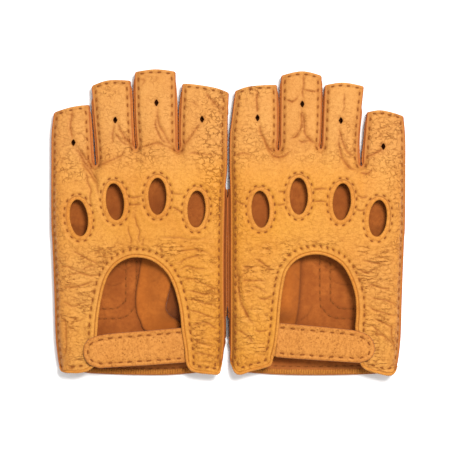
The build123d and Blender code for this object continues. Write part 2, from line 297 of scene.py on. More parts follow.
def leather(name, light, mid, dark, pores=0.0, crackle=1.0, tone=1.0):
    """Smooth grain leather: fine cells, soft wrinkles, folds darkened with painted shade, and a slight sheen.

    The attributes come with each mesh: rest is the flat position in mm, fold is painted shade in a crease,
    groove or stitch dimple, shade is painted shade at edges, beside creases and under other parts, mixed at
    edges with the edge's own reddish brown, pebble is how much its grain is cracked, wrinkle how much it
    has long furrows and tint how yellow it is.
    """
    n = Nodes(name)
    light, mid, dark, ridge_highlight, edge_brown_and_shade = map(hex_colour, (light, mid, dark, "d39449", "9a4f1e"))
    rest = n.attribute("rest", "Vector")
    fold, shade, pebble, wrinkle, tint = map(n.attribute, ATTRIBUTES)
    fine = n.noise(rest, 0.55, 4.0, 0.65)
    speck = n.noise(rest, 1.9, 2.0, 0.6)
    colour = n.mix(n.band(n.noise(rest, 0.035), 0.3, 0.7), mid, light)
    colour = n.mix(tint, colour, n.mix(1.0, colour, TO_YELLOW, "MULTIPLY"))
    colour = n.stain(colour, n.band(fine, 0.46, 0.72), 0.28 * tone, dark)
    colour = n.stain(colour, n.band(speck, 0.52, 0.72), 0.36 * tone, dark)
    # The worn grain: pebbles and short wrinkles with fine cracks between them, most where the leather was bent
    drift = n.noise(rest, 0.35, 3.0, 0.5, "Color")
    moved = n.add("VectorMath", {0: drift, 1: (2.6, 2.6, 2.6), 2: rest}, operation="MULTIPLY_ADD")
    warped = moved.outputs[0]
    spread = n.band(n.noise(rest, 0.22, 2.0), 0.42, 0.58)
    pebbles = n.cells(warped, 0.37, "DISTANCE_TO_EDGE")
    wrinkles = n.cells(n.stretch(warped, (0.17, 0.43, 0.35)), 1.0, "DISTANCE_TO_EDGE")
    edge = n.math("ADD", n.times(pebbles, spread), n.times(wrinkles, n.math("SUBTRACT", 1.0, spread)))
    broken = n.band(n.noise(rest, 0.3, 2.0), 0.36, 0.56)
    worn = n.times(pebble, crackle)
    crack = n.times(n.band(edge, 0.0, 0.13, 1.0, 0.0), n.times(worn, broken))
    furrow = n.cells(n.stretch(warped, (0.085, 0.4, 0.3)), 1.0, "DISTANCE_TO_EDGE")
    deep = n.times(n.band(furrow, 0.0, 0.15, 1.0, 0.0), n.times(wrinkle, n.band(fine, 0.35, 0.55)))
    crack = n.math("MAXIMUM", crack, deep)
    ridge, bank = n.times(n.band(edge, 0.1, 0.3), worn), n.times(n.band(furrow, 0.1, 0.3), wrinkle)
    # Painted light: a painted highlight on the pebbles' tops and the furrows' banks, painted shade in the
    # cracks, furrows, creases and stitch dimples, and at edges painted shade over the edge's own reddish brown
    colour = n.stain(colour, n.math("MAXIMUM", ridge, bank), 0.3, ridge_highlight)
    colour = n.stain(colour, crack, 0.75, dark)
    colour = n.stain(colour, fold, 0.9, dark)
    colour = n.stain(colour, shade, 0.8, edge_brown_and_shade)
    dome = n.band(n.cells(warped, 0.37), 0.1, 0.7, 1.0, 0.0)
    height = n.math("ADD", n.times(n.cells(rest, 1.15), 0.4), n.times(fine, 0.8))
    height = n.math("ADD", height, n.times(dome, n.times(worn, 0.7)))
    height = n.math("SUBTRACT", height, n.times(crack, 1.3))
    if pores:
        # Follicle marks and short wrinkles, both in streaks across the strip
        upright = n.stretch(warped, (0.62, 0.34, 0.4))
        cluster = n.band(n.noise(upright, 0.3, 2.0), 0.42, 0.6)
        pore = n.times(n.band(n.cells(rest, 0.55), 0.14, 0.36, 1.0, 0.0), n.times(cluster, pores))
        streak = n.times(n.band(n.noise(upright, 1.3, 3.0, 0.6), 0.5, 0.7), 0.6 * pores)
        colour = n.stain(colour, n.math("MAXIMUM", pore, streak), 0.75, dark)
        height = n.math("SUBTRACT", height, n.math("ADD", pore, streak))
    constants = {"Roughness": n.band(fine, 0.3, 0.7, 0.51, 0.68), "Specular IOR Level": 0.12,
                 "Sheen Weight": 0.02, "Sheen Roughness": 0.5}
    return n.finish(colour, height, BUMP_DEPTH, 1.0, constants)


def suede(name, light, dark, nap=1.0):
    """The flesh side of the hide: matt, with a short nap that shades in patches."""
    n = Nodes(name)
    light, dark = hex_colour(light), hex_colour(dark)
    rest = n.attribute("rest", "Vector")
    fibre = n.noise(rest, 2.6, 3.0, 0.7)
    colour = n.mix(n.band(n.noise(rest, 0.06, 4.0, 0.6), 0.32, 0.68), dark, light)
    colour = n.stain(colour, n.band(n.noise(rest, 0.35, 3.0, 0.6), 0.42, 0.66), 0.75, dark)
    colour = n.stain(colour, n.band(fibre, 0.4, 0.7), 0.4, dark)
    colour = n.mix(n.attribute("tint"), colour, hex_colour("cf9254"))
    # Painted shade in creases and stitch grooves, and where the suede lies in a seam's corner, under the back
    # or beside a part lying on it; it also darkens cut edges and the hem's edge
    colour = n.stain(colour, n.attribute("fold"), 0.9, hex_colour("4a2008"))
    colour = n.stain(colour, n.attribute("shade"), 0.7, hex_colour("5a2a0c"))
    constants = {"Roughness": 0.92, "Specular IOR Level": 0.15, "Sheen Weight": 0.25, "Sheen Roughness": 0.4}
    return n.finish(colour, fibre, BUMP_DEPTH * nap, 0.7, constants)


def thread_material():
    n = Nodes("thread")
    place_on = n.add("TexCoord").outputs["Object"]
    inputs = {"Vector": place_on, "Scale": 900.0, "Distortion": 1.0}
    twist = n.add("TexWave", inputs, bands_direction="DIAGONAL").outputs["Fac"]
    colour = n.mix(n.band(twist, 0.2, 0.8), hex_colour("6c370e"), hex_colour("965622"))
    return n.finish(colour, twist, 0.00008, 0.6, {"Roughness": 0.75, "Specular IOR Level": 0.15})


def tape_material(name, light, dark, scale):
    n = Nodes(name)
    pile = n.cells(n.add("TexCoord").outputs["Object"], scale)
    colour = n.mix(n.band(pile, 0.0, 0.6), hex_colour(light), hex_colour(dark))
    return n.finish(colour, pile, BUMP_DEPTH, 1.0, {"Roughness": 0.85, "Sheen Weight": 0.3}, invert=True)


def floor_material():
    n = Nodes("floor")
    tone = n.noise(n.add("TexCoord").outputs["Object"], 3.0, 2.0)
    n.put(n.shader.inputs["Base Color"], n.mix(tone, hex_colour("f8f8f8"), hex_colour("fcfcfc")))
    n.put(n.shader.inputs["Roughness"], 0.9)
    return n.material


DARK = "7c3d0d"
TAN = leather("tan_leather", "c68c48", "be803d", DARK)
STRAP_TAN = leather("strap_leather", "c5833c", "bb7832", DARK, pores=0.8, tone=1.3, crackle=0.0)
RIM_TAN = leather("binding_leather", "c58437", "ba752a", DARK, tone=1.5, crackle=0.0)
GUSSET_TAN = leather("fourchette_leather", "c07233", "ae622a", "6a300e", crackle=0.3)
PALM_TAN = leather("palm_leather", "c58040", "b97234", "78390f", crackle=0.7)
SUEDE = suede("palm_suede", "ab5f25", "884518")
LOBE_SUEDE = suede("thumb_gusset_suede", "ad6021", "954e18", nap=0.6)
THREAD = thread_material()
LOOP_TAPE = tape_material("loop_tape", "8a5528", "5a3212", 1400.0)
HOOK_TAPE = tape_material("hook_tape", "6e4320", "3c210c", 900.0)

# ---------------------------------------------------------------- meshes


def place(side, p):
    """Plan millimetres to metres in the row frame."""
    p = np.asarray(p, float)
    return np.column_stack([SIDES[side] * p[:, 0], p[:, 1] + WRIST_Y, p[:, 2]]) * MM


def make_object(g, name, points, faces, materials, indices=None, normals=None, rest=None, facts=None):
    """An object from plan millimetres, with the attributes that its materials read."""
    mesh = bpy.data.meshes.new(f"{g.side}_{name}")
    if SIDES[g.side] < 0:
        faces = [f[::-1] for f in faces]
    mesh.from_pydata(place(g.side, points).tolist(), [], faces)
    for m in materials:
        mesh.materials.append(m)
    if indices is not None:
        mesh.polygons.foreach_set("material_index", np.asarray(indices, np.int32))
    rest = (points if rest is None else rest) + g.rest_shift
    where = mesh.attributes.new("rest", "FLOAT_VECTOR", "POINT")
    where.data.foreach_set("vector", rest.astype(np.float32).ravel())
    for key in ATTRIBUTES:
        values = (facts or {}).get(key, np.zeros(len(points)))
        mesh.attributes.new(key, "FLOAT", "POINT").data.foreach_set("value", values.astype(np.float32))
    mesh.shade_smooth()
    if normals is not None:
        mirror = np.array([SIDES[g.side], 1, 1])
        mesh.normals_split_custom_set_from_vertices((normals * mirror).tolist())
    obj = bpy.data.objects.new(mesh.name, mesh)
    bpy.context.scene.collection.objects.link(obj)
    return obj


def vertex_normals(points, faces):
    normals = np.zeros_like(points)
    for count in (3, 4):
        f = np.array([face for face in faces if len(face) == count])
        if len(f):
            a, b, c, d = (points[f[:, k]] for k in (0, 1, 2, -1))
            n = np.cross(b - a, c - a) if count == 3 else np.cross(c - a, d - b)
            for k in range(count):
                np.add.at(normals, f[:, k], n)
    return unit(normals)


def oriented(points, faces, away):
    """The faces, turned if need be so that they look along the away vectors."""
    return faces if np.sum(vertex_normals(points, faces) * away) >= 0 else [f[::-1] for f in faces]


def shell(g, name, points, faces, thick, materials, normals=None, facts=None, flat=None):
    """A closed sheet of leather: the given outer face, an inner face behind it and a rounded edge around both.

    flat marks points on a hidden cut, where the edge stays square. Material 0 is the outer face and edge,
    material 1 the inner face.
    """
    count = len(points)
    used = np.unique([i for f in faces for i in f])
    new = np.full(count, -1)
    new[used] = np.arange(len(used))
    faces = [[int(new[i]) for i in f] for f in faces]
    normals = vertex_normals(points[used], faces) if normals is None else normals[used]
    flat = np.zeros(len(used), bool) if flat is None else flat[used]
    facts = {key: value[used] for key, value in {"shade": np.zeros(count), **(facts or {})}.items()}
    points = points[used]
    inner = points - normals * thick
    directed = dict.fromkeys((a, b) for f in faces for a, b in zip(f, f[1:] + f[:1]))
    border = [(a, b) for a, b in directed if (b, a) not in directed]
    out = np.zeros_like(points)
    for a, b in border:
        d = unit(np.cross(points[b] - points[a], normals[a] + normals[b]))
        out[a] += d
        out[b] += d
    n = len(points)
    ring = sorted({i for pair in border for i in pair})
    mid_of = {i: 2 * n + k for k, i in enumerate(ring)}
    out = unit(out[ring])
    swell = np.where(flat[ring], 0.0, EDGE_SWELL * thick)
    mid = (points[ring] + inner[ring]) / 2 + out * swell[:, None]
    rim = []
    for a, b in border:
        rim.append([b, a, mid_of[a], mid_of[b]])
        rim.append([mid_of[b], mid_of[a], a + n, b + n])
    all_faces = faces + [[i + n for i in f[::-1]] for f in faces] + rim
    indices = [0] * len(faces) + [len(materials) - 1] * len(faces) + [0] * len(rim)

    def every(values):
        return np.concatenate([values, values, values[ring]])

    facts = {key: every(value) for key, value in facts.items()}
    # Cut edges darker: the raw edge's own brown with painted shade
    facts["shade"][2 * n :] += CUT_SHADE * ~flat[ring]
    all_points, all_normals = np.vstack([points, inner, mid]), np.vstack([normals, -normals, out])
    return make_object(g, name, all_points, all_faces, materials, indices, all_normals, every(points), facts)


def grid_faces(rows, columns, wrap=False):
    """Quads over a grid of points, row by row."""
    faces = []
    for r in range(rows - 1):
        for c in range(columns if wrap else columns - 1):
            a, b = r * columns + c, r * columns + (c + 1) % columns
            faces.append([a, b, b + columns, a + columns])
    return faces


def tube(path, radius, up, sides):
    """Points and faces of a closed tube along a path, with one radius or a column or grid of them."""
    forward = unit(np.gradient(path, axis=0))
    across = unit(np.cross(forward, up))
    upward = np.cross(across, forward)
    radius = np.broadcast_to(radius, (len(path), sides))
    turn = 2 * np.pi * np.arange(sides) / sides
    rings = [path + (across * np.cos(a) + upward * np.sin(a)) * radius[:, [k]] for k, a in enumerate(turn)]
    last = (len(path) - 1) * sides
    ends = [list(range(sides))[::-1], [last + k for k in range(sides)]]
    return np.stack(rings, 1).reshape(-1, 3), grid_faces(len(path), sides, True) + ends


def join(parts):
    """One list of points and faces from several."""
    points, faces, start = [], [], 0
    for p, f in parts:
        points.append(p)
        faces += [[i + start for i in face] for face in f]
        start += len(p)
    return np.vstack(points), faces


# ---------------------------------------------------------------- outlines, as each glove lies

OUTLINES = {
    "left": {
        "side_in": [(3.8, 9.2), (3.0, 16), (2.4, 29), (2.8, 47), (2.8, 78), (2.2, 109), (1.8, 118),
                    (0.9, 128), (0.7, 143), (0.5, 158), (-0.3, 175.4)],
        "index_tip": [(-0.3, 175.4), (8, 178.2), (20, 180.2), (28.2, 180.9)],
        "index_far": [(28.2, 180.9), (29.3, 160), (29.5, 147), (29.3, 142.5), (30.7, 139.0)],
        "middle_near": [(30.7, 139.0), (32.2, 142.5), (32.3, 147), (32.5, 160), (32.8, 188.4)],
        "middle_tip": [(32.8, 188.4), (45, 189.6), (57.5, 188.1)],
        "middle_far": [(57.5, 188.1), (57.2, 165), (56.3, 147), (55.9, 142.8), (57.1, 140.0)],
        "ring_near": [(57.1, 140.0), (58.5, 142.8), (59.1, 147), (59.8, 162), (60.6, 182.8)],
        "ring_tip": [(60.6, 182.8), (73.8, 182.8), (84.2, 179.6)],
        "ring_far": [(84.2, 179.6), (82.6, 160), (81.3, 146), (80.7, 137), (80.6, 132.5), (82.0, 129.8)],
        "little_near": [(82.0, 129.8), (83.8, 132.5), (84.3, 137), (85.2, 152), (86, 167.8)],
        "little_tip": [(86, 167.8), (96.2, 166.4), (107.5, 163.2)],
        "side_out": [(107.5, 163.2), (109, 150), (109.2, 130), (109.2, 95), (108.6, 84), (107.8, 65),
                     (107.1, 45), (106.5, 25), (105.2, 12), (104.2, 6.2)],
        "wrist_out": [(104.2, 6.2), (103.2, 3.4), (101, 2.6), (94, 2.5), (89.5, 2.9), (85.6, 4.4),
                      (82.4, 6.8), (80.9, 10)],
        "arch": [(80.9, 10), (81, 18), (80.7, 25.6), (79.8, 37.9), (77.6, 50.6), (74.5, 60.9), (69.4, 68.4),
                 (61.9, 72.9), (54.4, 73.6), (46.2, 71.4), (38.8, 65.4), (34.3, 58), (31.4, 49.1), (29.5, 39.4),
                 (28.4, 28.3), (26.9, 18.5), (26.1, 9.5)],
        "wrist_in": [(26.1, 9.5), (24.2, 5.2), (20.2, 2.9), (12, 1.9), (6.2, 1.6), (4.4, 4.6), (3.8, 9.2)],
    },
    "right": {
        "side_in": [(1.2, 9.5), (1.6, 20), (1.6, 60), (1.6, 109), (1.1, 128), (1.2, 148), (2.3, 158),
                    (4.6, 176.6)],
        "index_tip": [(4.6, 176.6), (14, 179.2), (30.0, 180.2)],
        "index_far": [(30.0, 180.2), (30.4, 160), (30.2, 147), (29.6, 142.5), (30.9, 139.0)],
        "middle_near": [(30.9, 139.0), (32.3, 142.5), (32.6, 147), (32.7, 160), (33.0, 186)],
        "middle_tip": [(33.0, 186), (45.7, 188.4), (57.6, 185.9)],
        "middle_far": [(57.6, 185.9), (57.4, 165), (56.7, 147), (56.1, 142.8), (57.3, 140.0)],
        "ring_near": [(57.3, 140.0), (58.5, 142.8), (58.7, 147), (59.2, 162), (59.9, 180)],
        "ring_tip": [(59.9, 180), (71, 181.4), (83.7, 179.3)],
        "ring_far": [(83.7, 179.3), (81.6, 160), (80.5, 147), (80.2, 137), (80.7, 132), (82.2, 129.4)],
        "little_near": [(82.2, 129.4), (83.7, 132), (83.9, 137), (84.9, 150), (86, 163.3)],
        "little_tip": [(86, 163.3), (94.9, 164.3), (108.2, 161.0)],
        "side_out": [(108.2, 161.0), (109.3, 148), (109.4, 130), (109.2, 95), (108.6, 84), (107.8, 65),
                     (107.1, 45), (106.5, 25), (105.2, 12), (104.2, 6.6)],
        "wrist_out": [(104.2, 6.6), (103.2, 3.0), (101, 1.2), (98, 0.9), (93.4, 1.9), (88, 3.4), (84, 5.0),
                      (81.4, 8), (80.4, 12)],
        "arch": [(80.4, 12), (79.6, 20), (78.2, 30.1), (78.7, 37), (78.7, 44), (77.8, 52), (74.8, 60.9),
                 (70.3, 68.4), (63.6, 73.2), (54.7, 75.6), (45.7, 74), (39.8, 70.2), (35.6, 64), (33.4, 54.2),
                 (32.0, 43.1), (31.2, 33), (29.6, 20), (27.6, 12)],
        "wrist_in": [(27.6, 12), (26.4, 7.6), (22, 5.6), (14, 3.6), (6.9, 1.4), (3.4, 3.6), (1.2, 9.5)],
    },
}
WRIST_HEM = {  # the palm's wrist edge
    "left": [(104.2, 6.2), (102.4, 4.2), (96, 3.2), (88, 2.0), (80, 1.4), (60, 0.7), (40, 0.6), (26, 1.4),
             (14, 2.6), (7, 3.0), (4.8, 5.4), (3.8, 9.2)],
    "right": [(104.2, 6.6), (102.2, 3.6), (97, 2.2), (88, 1.2), (60, 0.5), (36, 0.7), (22, 1.4), (10, 2.4),
              (5, 3.6), (2.6, 6.0), (1.2, 9.5)],
}
ORDER = list(OUTLINES["left"])
OPEN_ENDS = ("index_tip", "middle_tip", "ring_tip", "little_tip")
FLAP_ENDS = ("wrist_in", "wrist_out")
# The side strips that line the finger gaps: run of the outline, finger, side of it and the run it faces
GAP_RUNS = {
    "index_far": ("index", "far_side", "middle_near"), "middle_near": ("middle", "thumb_side", "index_far"),
    "middle_far": ("middle", "far_side", "ring_near"), "ring_near": ("ring", "thumb_side", "middle_far"),
    "ring_far": ("ring", "far_side", "little_near"), "little_near": ("little", "thumb_side", "ring_far"),
}
HOLES = {
    "left": [(19.5, 103.3, 3.0), (43.5, 111.2, 0.0), (69.6, 107.8, -6.0), (91.8, 97.9, -7.0)],
    "right": [(19.9, 103.2, 3.5), (43.4, 111.2, 0.0), (69.8, 107.8, -5.0), (92.0, 97.6, -6.0)],
}
HOLE_U, HOLE_V = 5.5, 11.3  # half-widths of a knuckle hole
RIM = 2.3  # width of the rolled rim of a knuckle hole
RIM_POINTS = 240
VENTS = {
    "left": [(16.1, 158.7), (44.2, 168.9), (69.6, 158.2), (95.4, 144.3)],
    "right": [(18.0, 159.6), (45.6, 168.1), (69.4, 157.9), (95.6, 141.9)],
}
VENT_U, VENT_V = 1.5, 2.3
SIDE_SEAM, GAP_SEAM = 2.9, 2.1  # from the thumb-side edge, and from the other long edges, to their stitches
FLAP_SEAM = 4.0  # from a flap's wrist edge to its stitches
TIP_SEAM = 1.8  # from a fingertip's edge to its stitches
TIP_ROW = (4.7, 2.2, 0.3)  # pitch of the stitches, length of one stitch, depth of its dimple
BEAD = 1.5  # width of the rolled binding along the wrist opening
BEAD_STEP = 0.32
ARCH_SEAM, ARCH_PITCH = 5.0, 3.35  # from the wrist opening to its stitches, and about how far apart they are


def round_corners(runs):
    """Smooths the corners between runs, leaving each run as many points as it had."""
    loop = np.vstack([run[:-1] for run in runs])
    for _ in range(2):
        loop = loop + 0.4 * ((np.roll(loop, 1, 0) + np.roll(loop, -1, 0)) / 2 - loop)
    loop = np.vstack([loop, loop[:1]])
    ends = np.cumsum([0, *(len(run) - 1 for run in runs)])
    return [loop[a : b + 1] for a, b in zip(ends[:-1], ends[1:])]


def cut_points(runs):
    """Adds the exact points where each finger's crease meets the outline; returns them finger by finger."""
    ends = {"index": ("side_in", "index_far"), "middle": ("middle_near", "middle_far"),
            "ring": ("ring_near", "ring_far"), "little": ("little_near", "side_out")}
    found = {}
    for finger, names in ends.items():
        cut = HIDDEN_CUT[finger]
        for name in names:
            run = runs[name]
            k = int(np.nonzero((run[:-1, 1] - cut) * (run[1:, 1] - cut) <= 0)[0][0])
            a, b = run[k], run[k + 1]
            p = a + (b - a) * (cut - a[1]) / (b[1] - a[1])
            p[1] = cut
            low_end = k + 1 if np.hypot(*(a - p)) > 0.2 or k == 0 else k
            high_start = k + 1 if np.hypot(*(b - p)) > 0.2 or k + 2 == len(run) else k + 2
            runs[name] = np.vstack([run[:low_end], p[None], run[high_start:]])
            found.setdefault(finger, []).append(p)
    return {finger: np.array(pair) for finger, pair in found.items()}


def inside_panel(points, loops):
    """Which points are inside the first loop and outside the others."""
    keep = inside(points, loops[0])
    for hole in loops[1:]:
        keep &= ~inside(points, hole)
    return keep


def triangulate(loops, cuts=(), rings=(*EDGE_RINGS, 1.75), spacing=STEP):
    """Points and triangles that fill the first loop, outside the others, with the cuts along edges."""
    outer = loops[0]
    low, high = outer.min(0), outer.max(0)
    columns = np.arange(low[0], high[0], spacing)
    grid = np.vstack([
        np.column_stack([columns + (k % 2) * spacing / 2, np.full(len(columns), v)])
        for k, v in enumerate(np.arange(low[1], high[1], spacing * 0.87))
    ])
    grid = grid[inside_panel(grid, loops)]
    near = nearest(grid, loops, True)
    if len(cuts):
        near = np.minimum(near, nearest(grid, cuts) + rings[-1])
    grid = grid[near > rings[-1] + 0.5 * spacing]
    points, edges, offsets, start = [], [], [], 0
    for k, loop in enumerate(loops):
        points.append(loop)
        edges += [(start + i, start + (i + 1) % len(loop)) for i in range(len(loop))]
        start += len(loop)
        area = np.sum(loop[:, 0] * np.roll(loop[:, 1], -1) - loop[:, 1] * np.roll(loop[:, 0], -1))
        inward = loop_normals(loop) * (1 if (area > 0) == (k == 0) else -1)
        offsets += [(loop + inward * d, d) for d in rings]
    for p, d in offsets:
        keep = (nearest(p, loops, True) > 0.93 * d) & inside(p, outer)
        if len(cuts):
            keep &= nearest(p, cuts) > 0.35
        points.append(p[keep])
        start += int(keep.sum())
    for cut in cuts:
        line = resample(cut, spacing)
        first, last = (int(np.argmin(np.hypot(*(outer - end).T))) for end in (line[0], line[-1]))
        ids = [first, *range(start, start + len(line) - 2), last]
        points.append(line[1:-1])
        edges += list(zip(ids[:-1], ids[1:]))
        start += len(line) - 2
    points = np.vstack([*points, grid])
    made, _, faces, _, _, _ = delaunay_2d_cdt([Vector(p) for p in points], edges, [], 0, 1e-6)
    made, faces = np.array([tuple(p) for p in made]), np.array(faces)
    faces = faces[inside_panel(made[faces].mean(1), loops)]
    ab, ac = made[faces[:, 1]] - made[faces[:, 0]], made[faces[:, 2]] - made[faces[:, 0]]
    area = ab[:, 0] * ac[:, 1] - ab[:, 1] * ac[:, 0]
    faces, area = faces[np.abs(area) > 1e-5], area[np.abs(area) > 1e-5]
    faces[area < 0] = faces[area < 0][:, ::-1]
    return made, faces


def finger_of(p, seams):
    """Which finger each point is on, or -1 for the hand. seams are the lines between neighbouring fingers."""
    u, v = p[:, 0], p[:, 1]
    found = np.zeros(len(p), int)
    for line in seams:
        found += u > np.interp(v, line[:, 1], line[:, 0])
    cut = np.array(list(HIDDEN_CUT.values()))[found]
    return np.where(v > cut, found, -1)


# ---------------------------------------------------------------- creases of each glove: points, depth, width

CREASES = {
    "left": [
        ([(96, 165), (97, 155), (95.5, 145)], 0.5, 1.1),
        ([(94.5, 142.5), (91, 136.5), (87.5, 130.5), (82.5, 124), (79.5, 118)], 0.8, 1.3),
        ([(93, 142), (88, 134.5), (84, 129), (81, 125.5)], 0.6, 0.9),
        ([(69, 157), (66.5, 152), (62.5, 146), (58.5, 141)], 0.6, 1),
        ([(71, 151), (68, 148), (61.5, 142)], 0.35, 0.7), ([(70.5, 155.5), (71.5, 149), (69.5, 144)], 0.3, 0.8),
        ([(44, 167.5), (44, 162.5), (42.5, 155), (39, 149), (34.5, 142), (31, 139.5)], 0.7, 1.1),
        ([(45, 159.5), (44, 151), (40.5, 146), (36, 143)], 0.4, 0.8),
        ([(16.5, 157.5), (19, 153.5), (22, 149), (26.5, 143.5), (30.5, 139.5)], 0.6, 1),
        ([(56.5, 140.5), (48, 143), (43.5, 144), (37.5, 142), (31, 138.5), (24.5, 141)], 0.5, 0.8),
        ([(81, 128.5), (76, 132), (66.5, 136), (62, 139.5)], 0.35, 0.9),
        ([(14.5, 176.5), (12, 172), (6.5, 166.5), (1, 164)], 0.4, 0.8),
        ([(26.5, 136.5), (20.5, 138), (12.5, 136.5), (5, 138)], 0.3, 0.7),
        ([(54, 184), (51, 182.5), (54, 179.5)], 0.2, 0.6),
        ([(22.5, 170.5), (20.5, 168), (17.5, 165.5)], 0.2, 0.6),
        ([(62, 181), (59.5, 178), (61, 172)], 0.2, 0.6),
        ([(91, 135), (88, 129), (84, 123.5), (80.5, 116.5), (79.5, 109)], 0.6, 1.2),
        ([(88, 127.5), (85.5, 117.5), (84.5, 109), (83.5, 102.5)], 0.4, 0.9),
        ([(61.5, 111), (57, 110), (52, 111)], 0.4, 0.8), ([(61.5, 106.5), (58, 106), (53, 106)], 0.35, 0.7),
        ([(35, 104.5), (31.5, 103.5), (28, 101)], 0.45, 0.8),
        ([(34.5, 113.5), (31, 112.5), (27, 113)], 0.3, 0.7),
        ([(61.5, 93.5), (60.5, 87.5), (59.5, 80.5)], 0.35, 0.9),
        ([(57.5, 101), (56, 93.5), (54.5, 86), (53.5, 81)], 0.4, 0.9),
        ([(50.5, 86.5), (52, 83.5), (53, 80.5)], 0.25, 0.7),
        ([(44, 85.5), (37, 86.5), (26.5, 85.5), (18.5, 84), (10, 86)], 0.3, 0.9),
        ([(32.5, 75.5), (26.5, 78), (16.5, 78), (9.5, 74.5)], 0.5, 0.8),
        ([(31.5, 70.5), (22.5, 73.5), (15.5, 74.5)], 0.35, 0.7),
        ([(30, 66.5), (24.5, 68), (16.5, 66.5), (12.5, 65.5)], 0.45, 0.8),
        ([(29.5, 61), (20, 59.5), (11, 55), (3, 52.5)], 0.5, 0.8),
        ([(97, 78), (90, 74.5), (84, 71), (77, 68)], 0.45, 0.9),
        ([(99.5, 62.5), (91.5, 64.5), (84.5, 62.5), (78.5, 63.5)], 0.5, 0.8),
        ([(100, 55), (91.5, 56.5), (85.5, 58), (81.5, 59.5)], 0.5, 0.8),
        ([(91.5, 66), (85.5, 68), (80, 67)], 0.3, 0.7), ([(103.5, 68.5), (97.5, 67.5), (85, 61.5)], 0.35, 0.8),
        ([(103, 46), (94, 44), (86, 46.5)], 0.35, 0.8),
        ([(101.5, 39.5), (99.5, 30.5), (99.5, 16.5), (102, 9)], 0.5, 0.9),
        ([(97.5, 36.5), (91, 35), (87.5, 37.5)], 0.3, 0.7),
        ([(26.5, 54.5), (17.5, 52), (4.5, 50.5)], 0.45, 0.8),
        ([(26.5, 48.5), (14.5, 46), (4.5, 42.5)], 0.45, 0.8), ([(26, 41), (17.5, 39.5), (6.5, 34.5)], 0.4, 0.8),
        ([(23.5, 31.5), (14.5, 33.5), (4.5, 29)], 0.4, 0.8), ([(22, 24), (14.5, 19.5), (6.5, 21)], 0.35, 0.8),
        ([(22, 13.5), (14.5, 14.5), (6.5, 12.5)], 0.3, 0.8),
    ],
    "right": [
        ([(17.5, 177.5), (18, 169.5), (18, 161)], 0.4, 0.9),
        ([(18.5, 157), (20.5, 149.5), (23.5, 143.5), (27, 139), (30.5, 138)], 0.75, 1.1),
        ([(19, 152), (22, 146), (25, 139.5), (28, 136), (32, 135), (38, 138), (41, 141)], 0.5, 0.8),
        ([(46.5, 187.5), (46.5, 179.5), (46.5, 169.5)], 0.35, 0.7),
        ([(46, 166), (45.5, 156.5), (44.5, 152), (41, 148), (36.5, 146)], 0.6, 1),
        ([(46.5, 164), (47, 155), (48, 149), (50.5, 146), (55, 142)], 0.6, 1),
        ([(47, 177), (52, 175.5), (56.5, 177)], 0.35, 0.6),
        ([(35, 170.5), (39, 169.5), (43.5, 172.5)], 0.35, 0.6),
        ([(72, 175.5), (71.5, 169), (70.5, 161)], 0.25, 0.7),
        ([(67.5, 154), (69.5, 147.5), (72, 141), (74, 138), (79, 135)], 0.65, 1),
        ([(67.5, 149), (68.5, 141), (71, 134), (74, 129.5), (78, 127.5), (82, 128)], 0.7, 1),
        ([(95, 141), (89.5, 138), (85, 135)], 0.45, 0.9), ([(81, 125.5), (85.5, 125), (89, 127.5)], 0.4, 0.8),
        ([(52, 115), (56.5, 116), (61, 114.5)], 0.4, 0.7),
        ([(52.5, 108), (56.5, 108.5), (61, 107.5)], 0.4, 0.7), ([(29, 106), (32, 105.5), (35, 106)], 0.35, 0.7),
        ([(4, 108), (8, 106.5), (10.5, 107.5)], 0.35, 0.7), ([(31, 114), (35, 114.5)], 0.3, 0.6),
        ([(42.5, 146), (45.5, 144.5), (50.5, 145), (54, 144)], 0.35, 0.8),
        ([(3.5, 136.5), (9, 138), (15, 136)], 0.3, 0.8), ([(79, 112), (82.5, 110.5), (85.5, 111.5)], 0.35, 0.7),
        ([(78, 104), (82, 102.5), (85, 103.5)], 0.35, 0.7),
        ([(4.5, 74), (5.5, 64), (7, 48.5), (10.5, 40), (14.5, 33.5), (19, 29.5)], 0.8, 1.6),
        ([(7.5, 59.5), (14.5, 60), (25, 59)], 0.45, 0.8), ([(13.5, 56.5), (18.5, 55.5), (25, 51)], 0.3, 0.8),
        ([(18.5, 49), (23, 48), (28, 50.5)], 0.4, 0.8), ([(16.5, 73), (22.5, 68.5), (28, 65.5)], 0.4, 0.8),
        ([(8.5, 69), (13.5, 67), (18.5, 68)], 0.3, 0.7), ([(15, 29), (20, 28.5), (25.5, 30)], 0.4, 0.9),
        ([(4, 30), (9.5, 26.5), (16.5, 20.5)], 0.35, 0.9), ([(80, 66.5), (86, 64.5), (90.5, 67)], 0.4, 0.7),
        ([(82, 72), (90.5, 70), (98.5, 71)], 0.35, 0.7), ([(85, 57.5), (92.5, 55.5), (100.5, 53.5)], 0.45, 0.8),
        ([(86, 50), (95.5, 47.5), (104.5, 45)], 0.45, 0.8), ([(85.5, 44), (94.5, 40), (105, 37)], 0.45, 0.8),
        ([(88, 37), (95.5, 33), (104, 31)], 0.4, 0.8), ([(87, 33), (90.5, 30), (99.5, 20.5)], 0.4, 0.9),
        ([(89.5, 27), (96.5, 24.5), (103, 20.5)], 0.35, 0.8),
        ([(101.5, 33), (100.5, 25), (102, 16.5)], 0.35, 0.9),
    ],
}


# ---------------------------------------------------------------- one glove


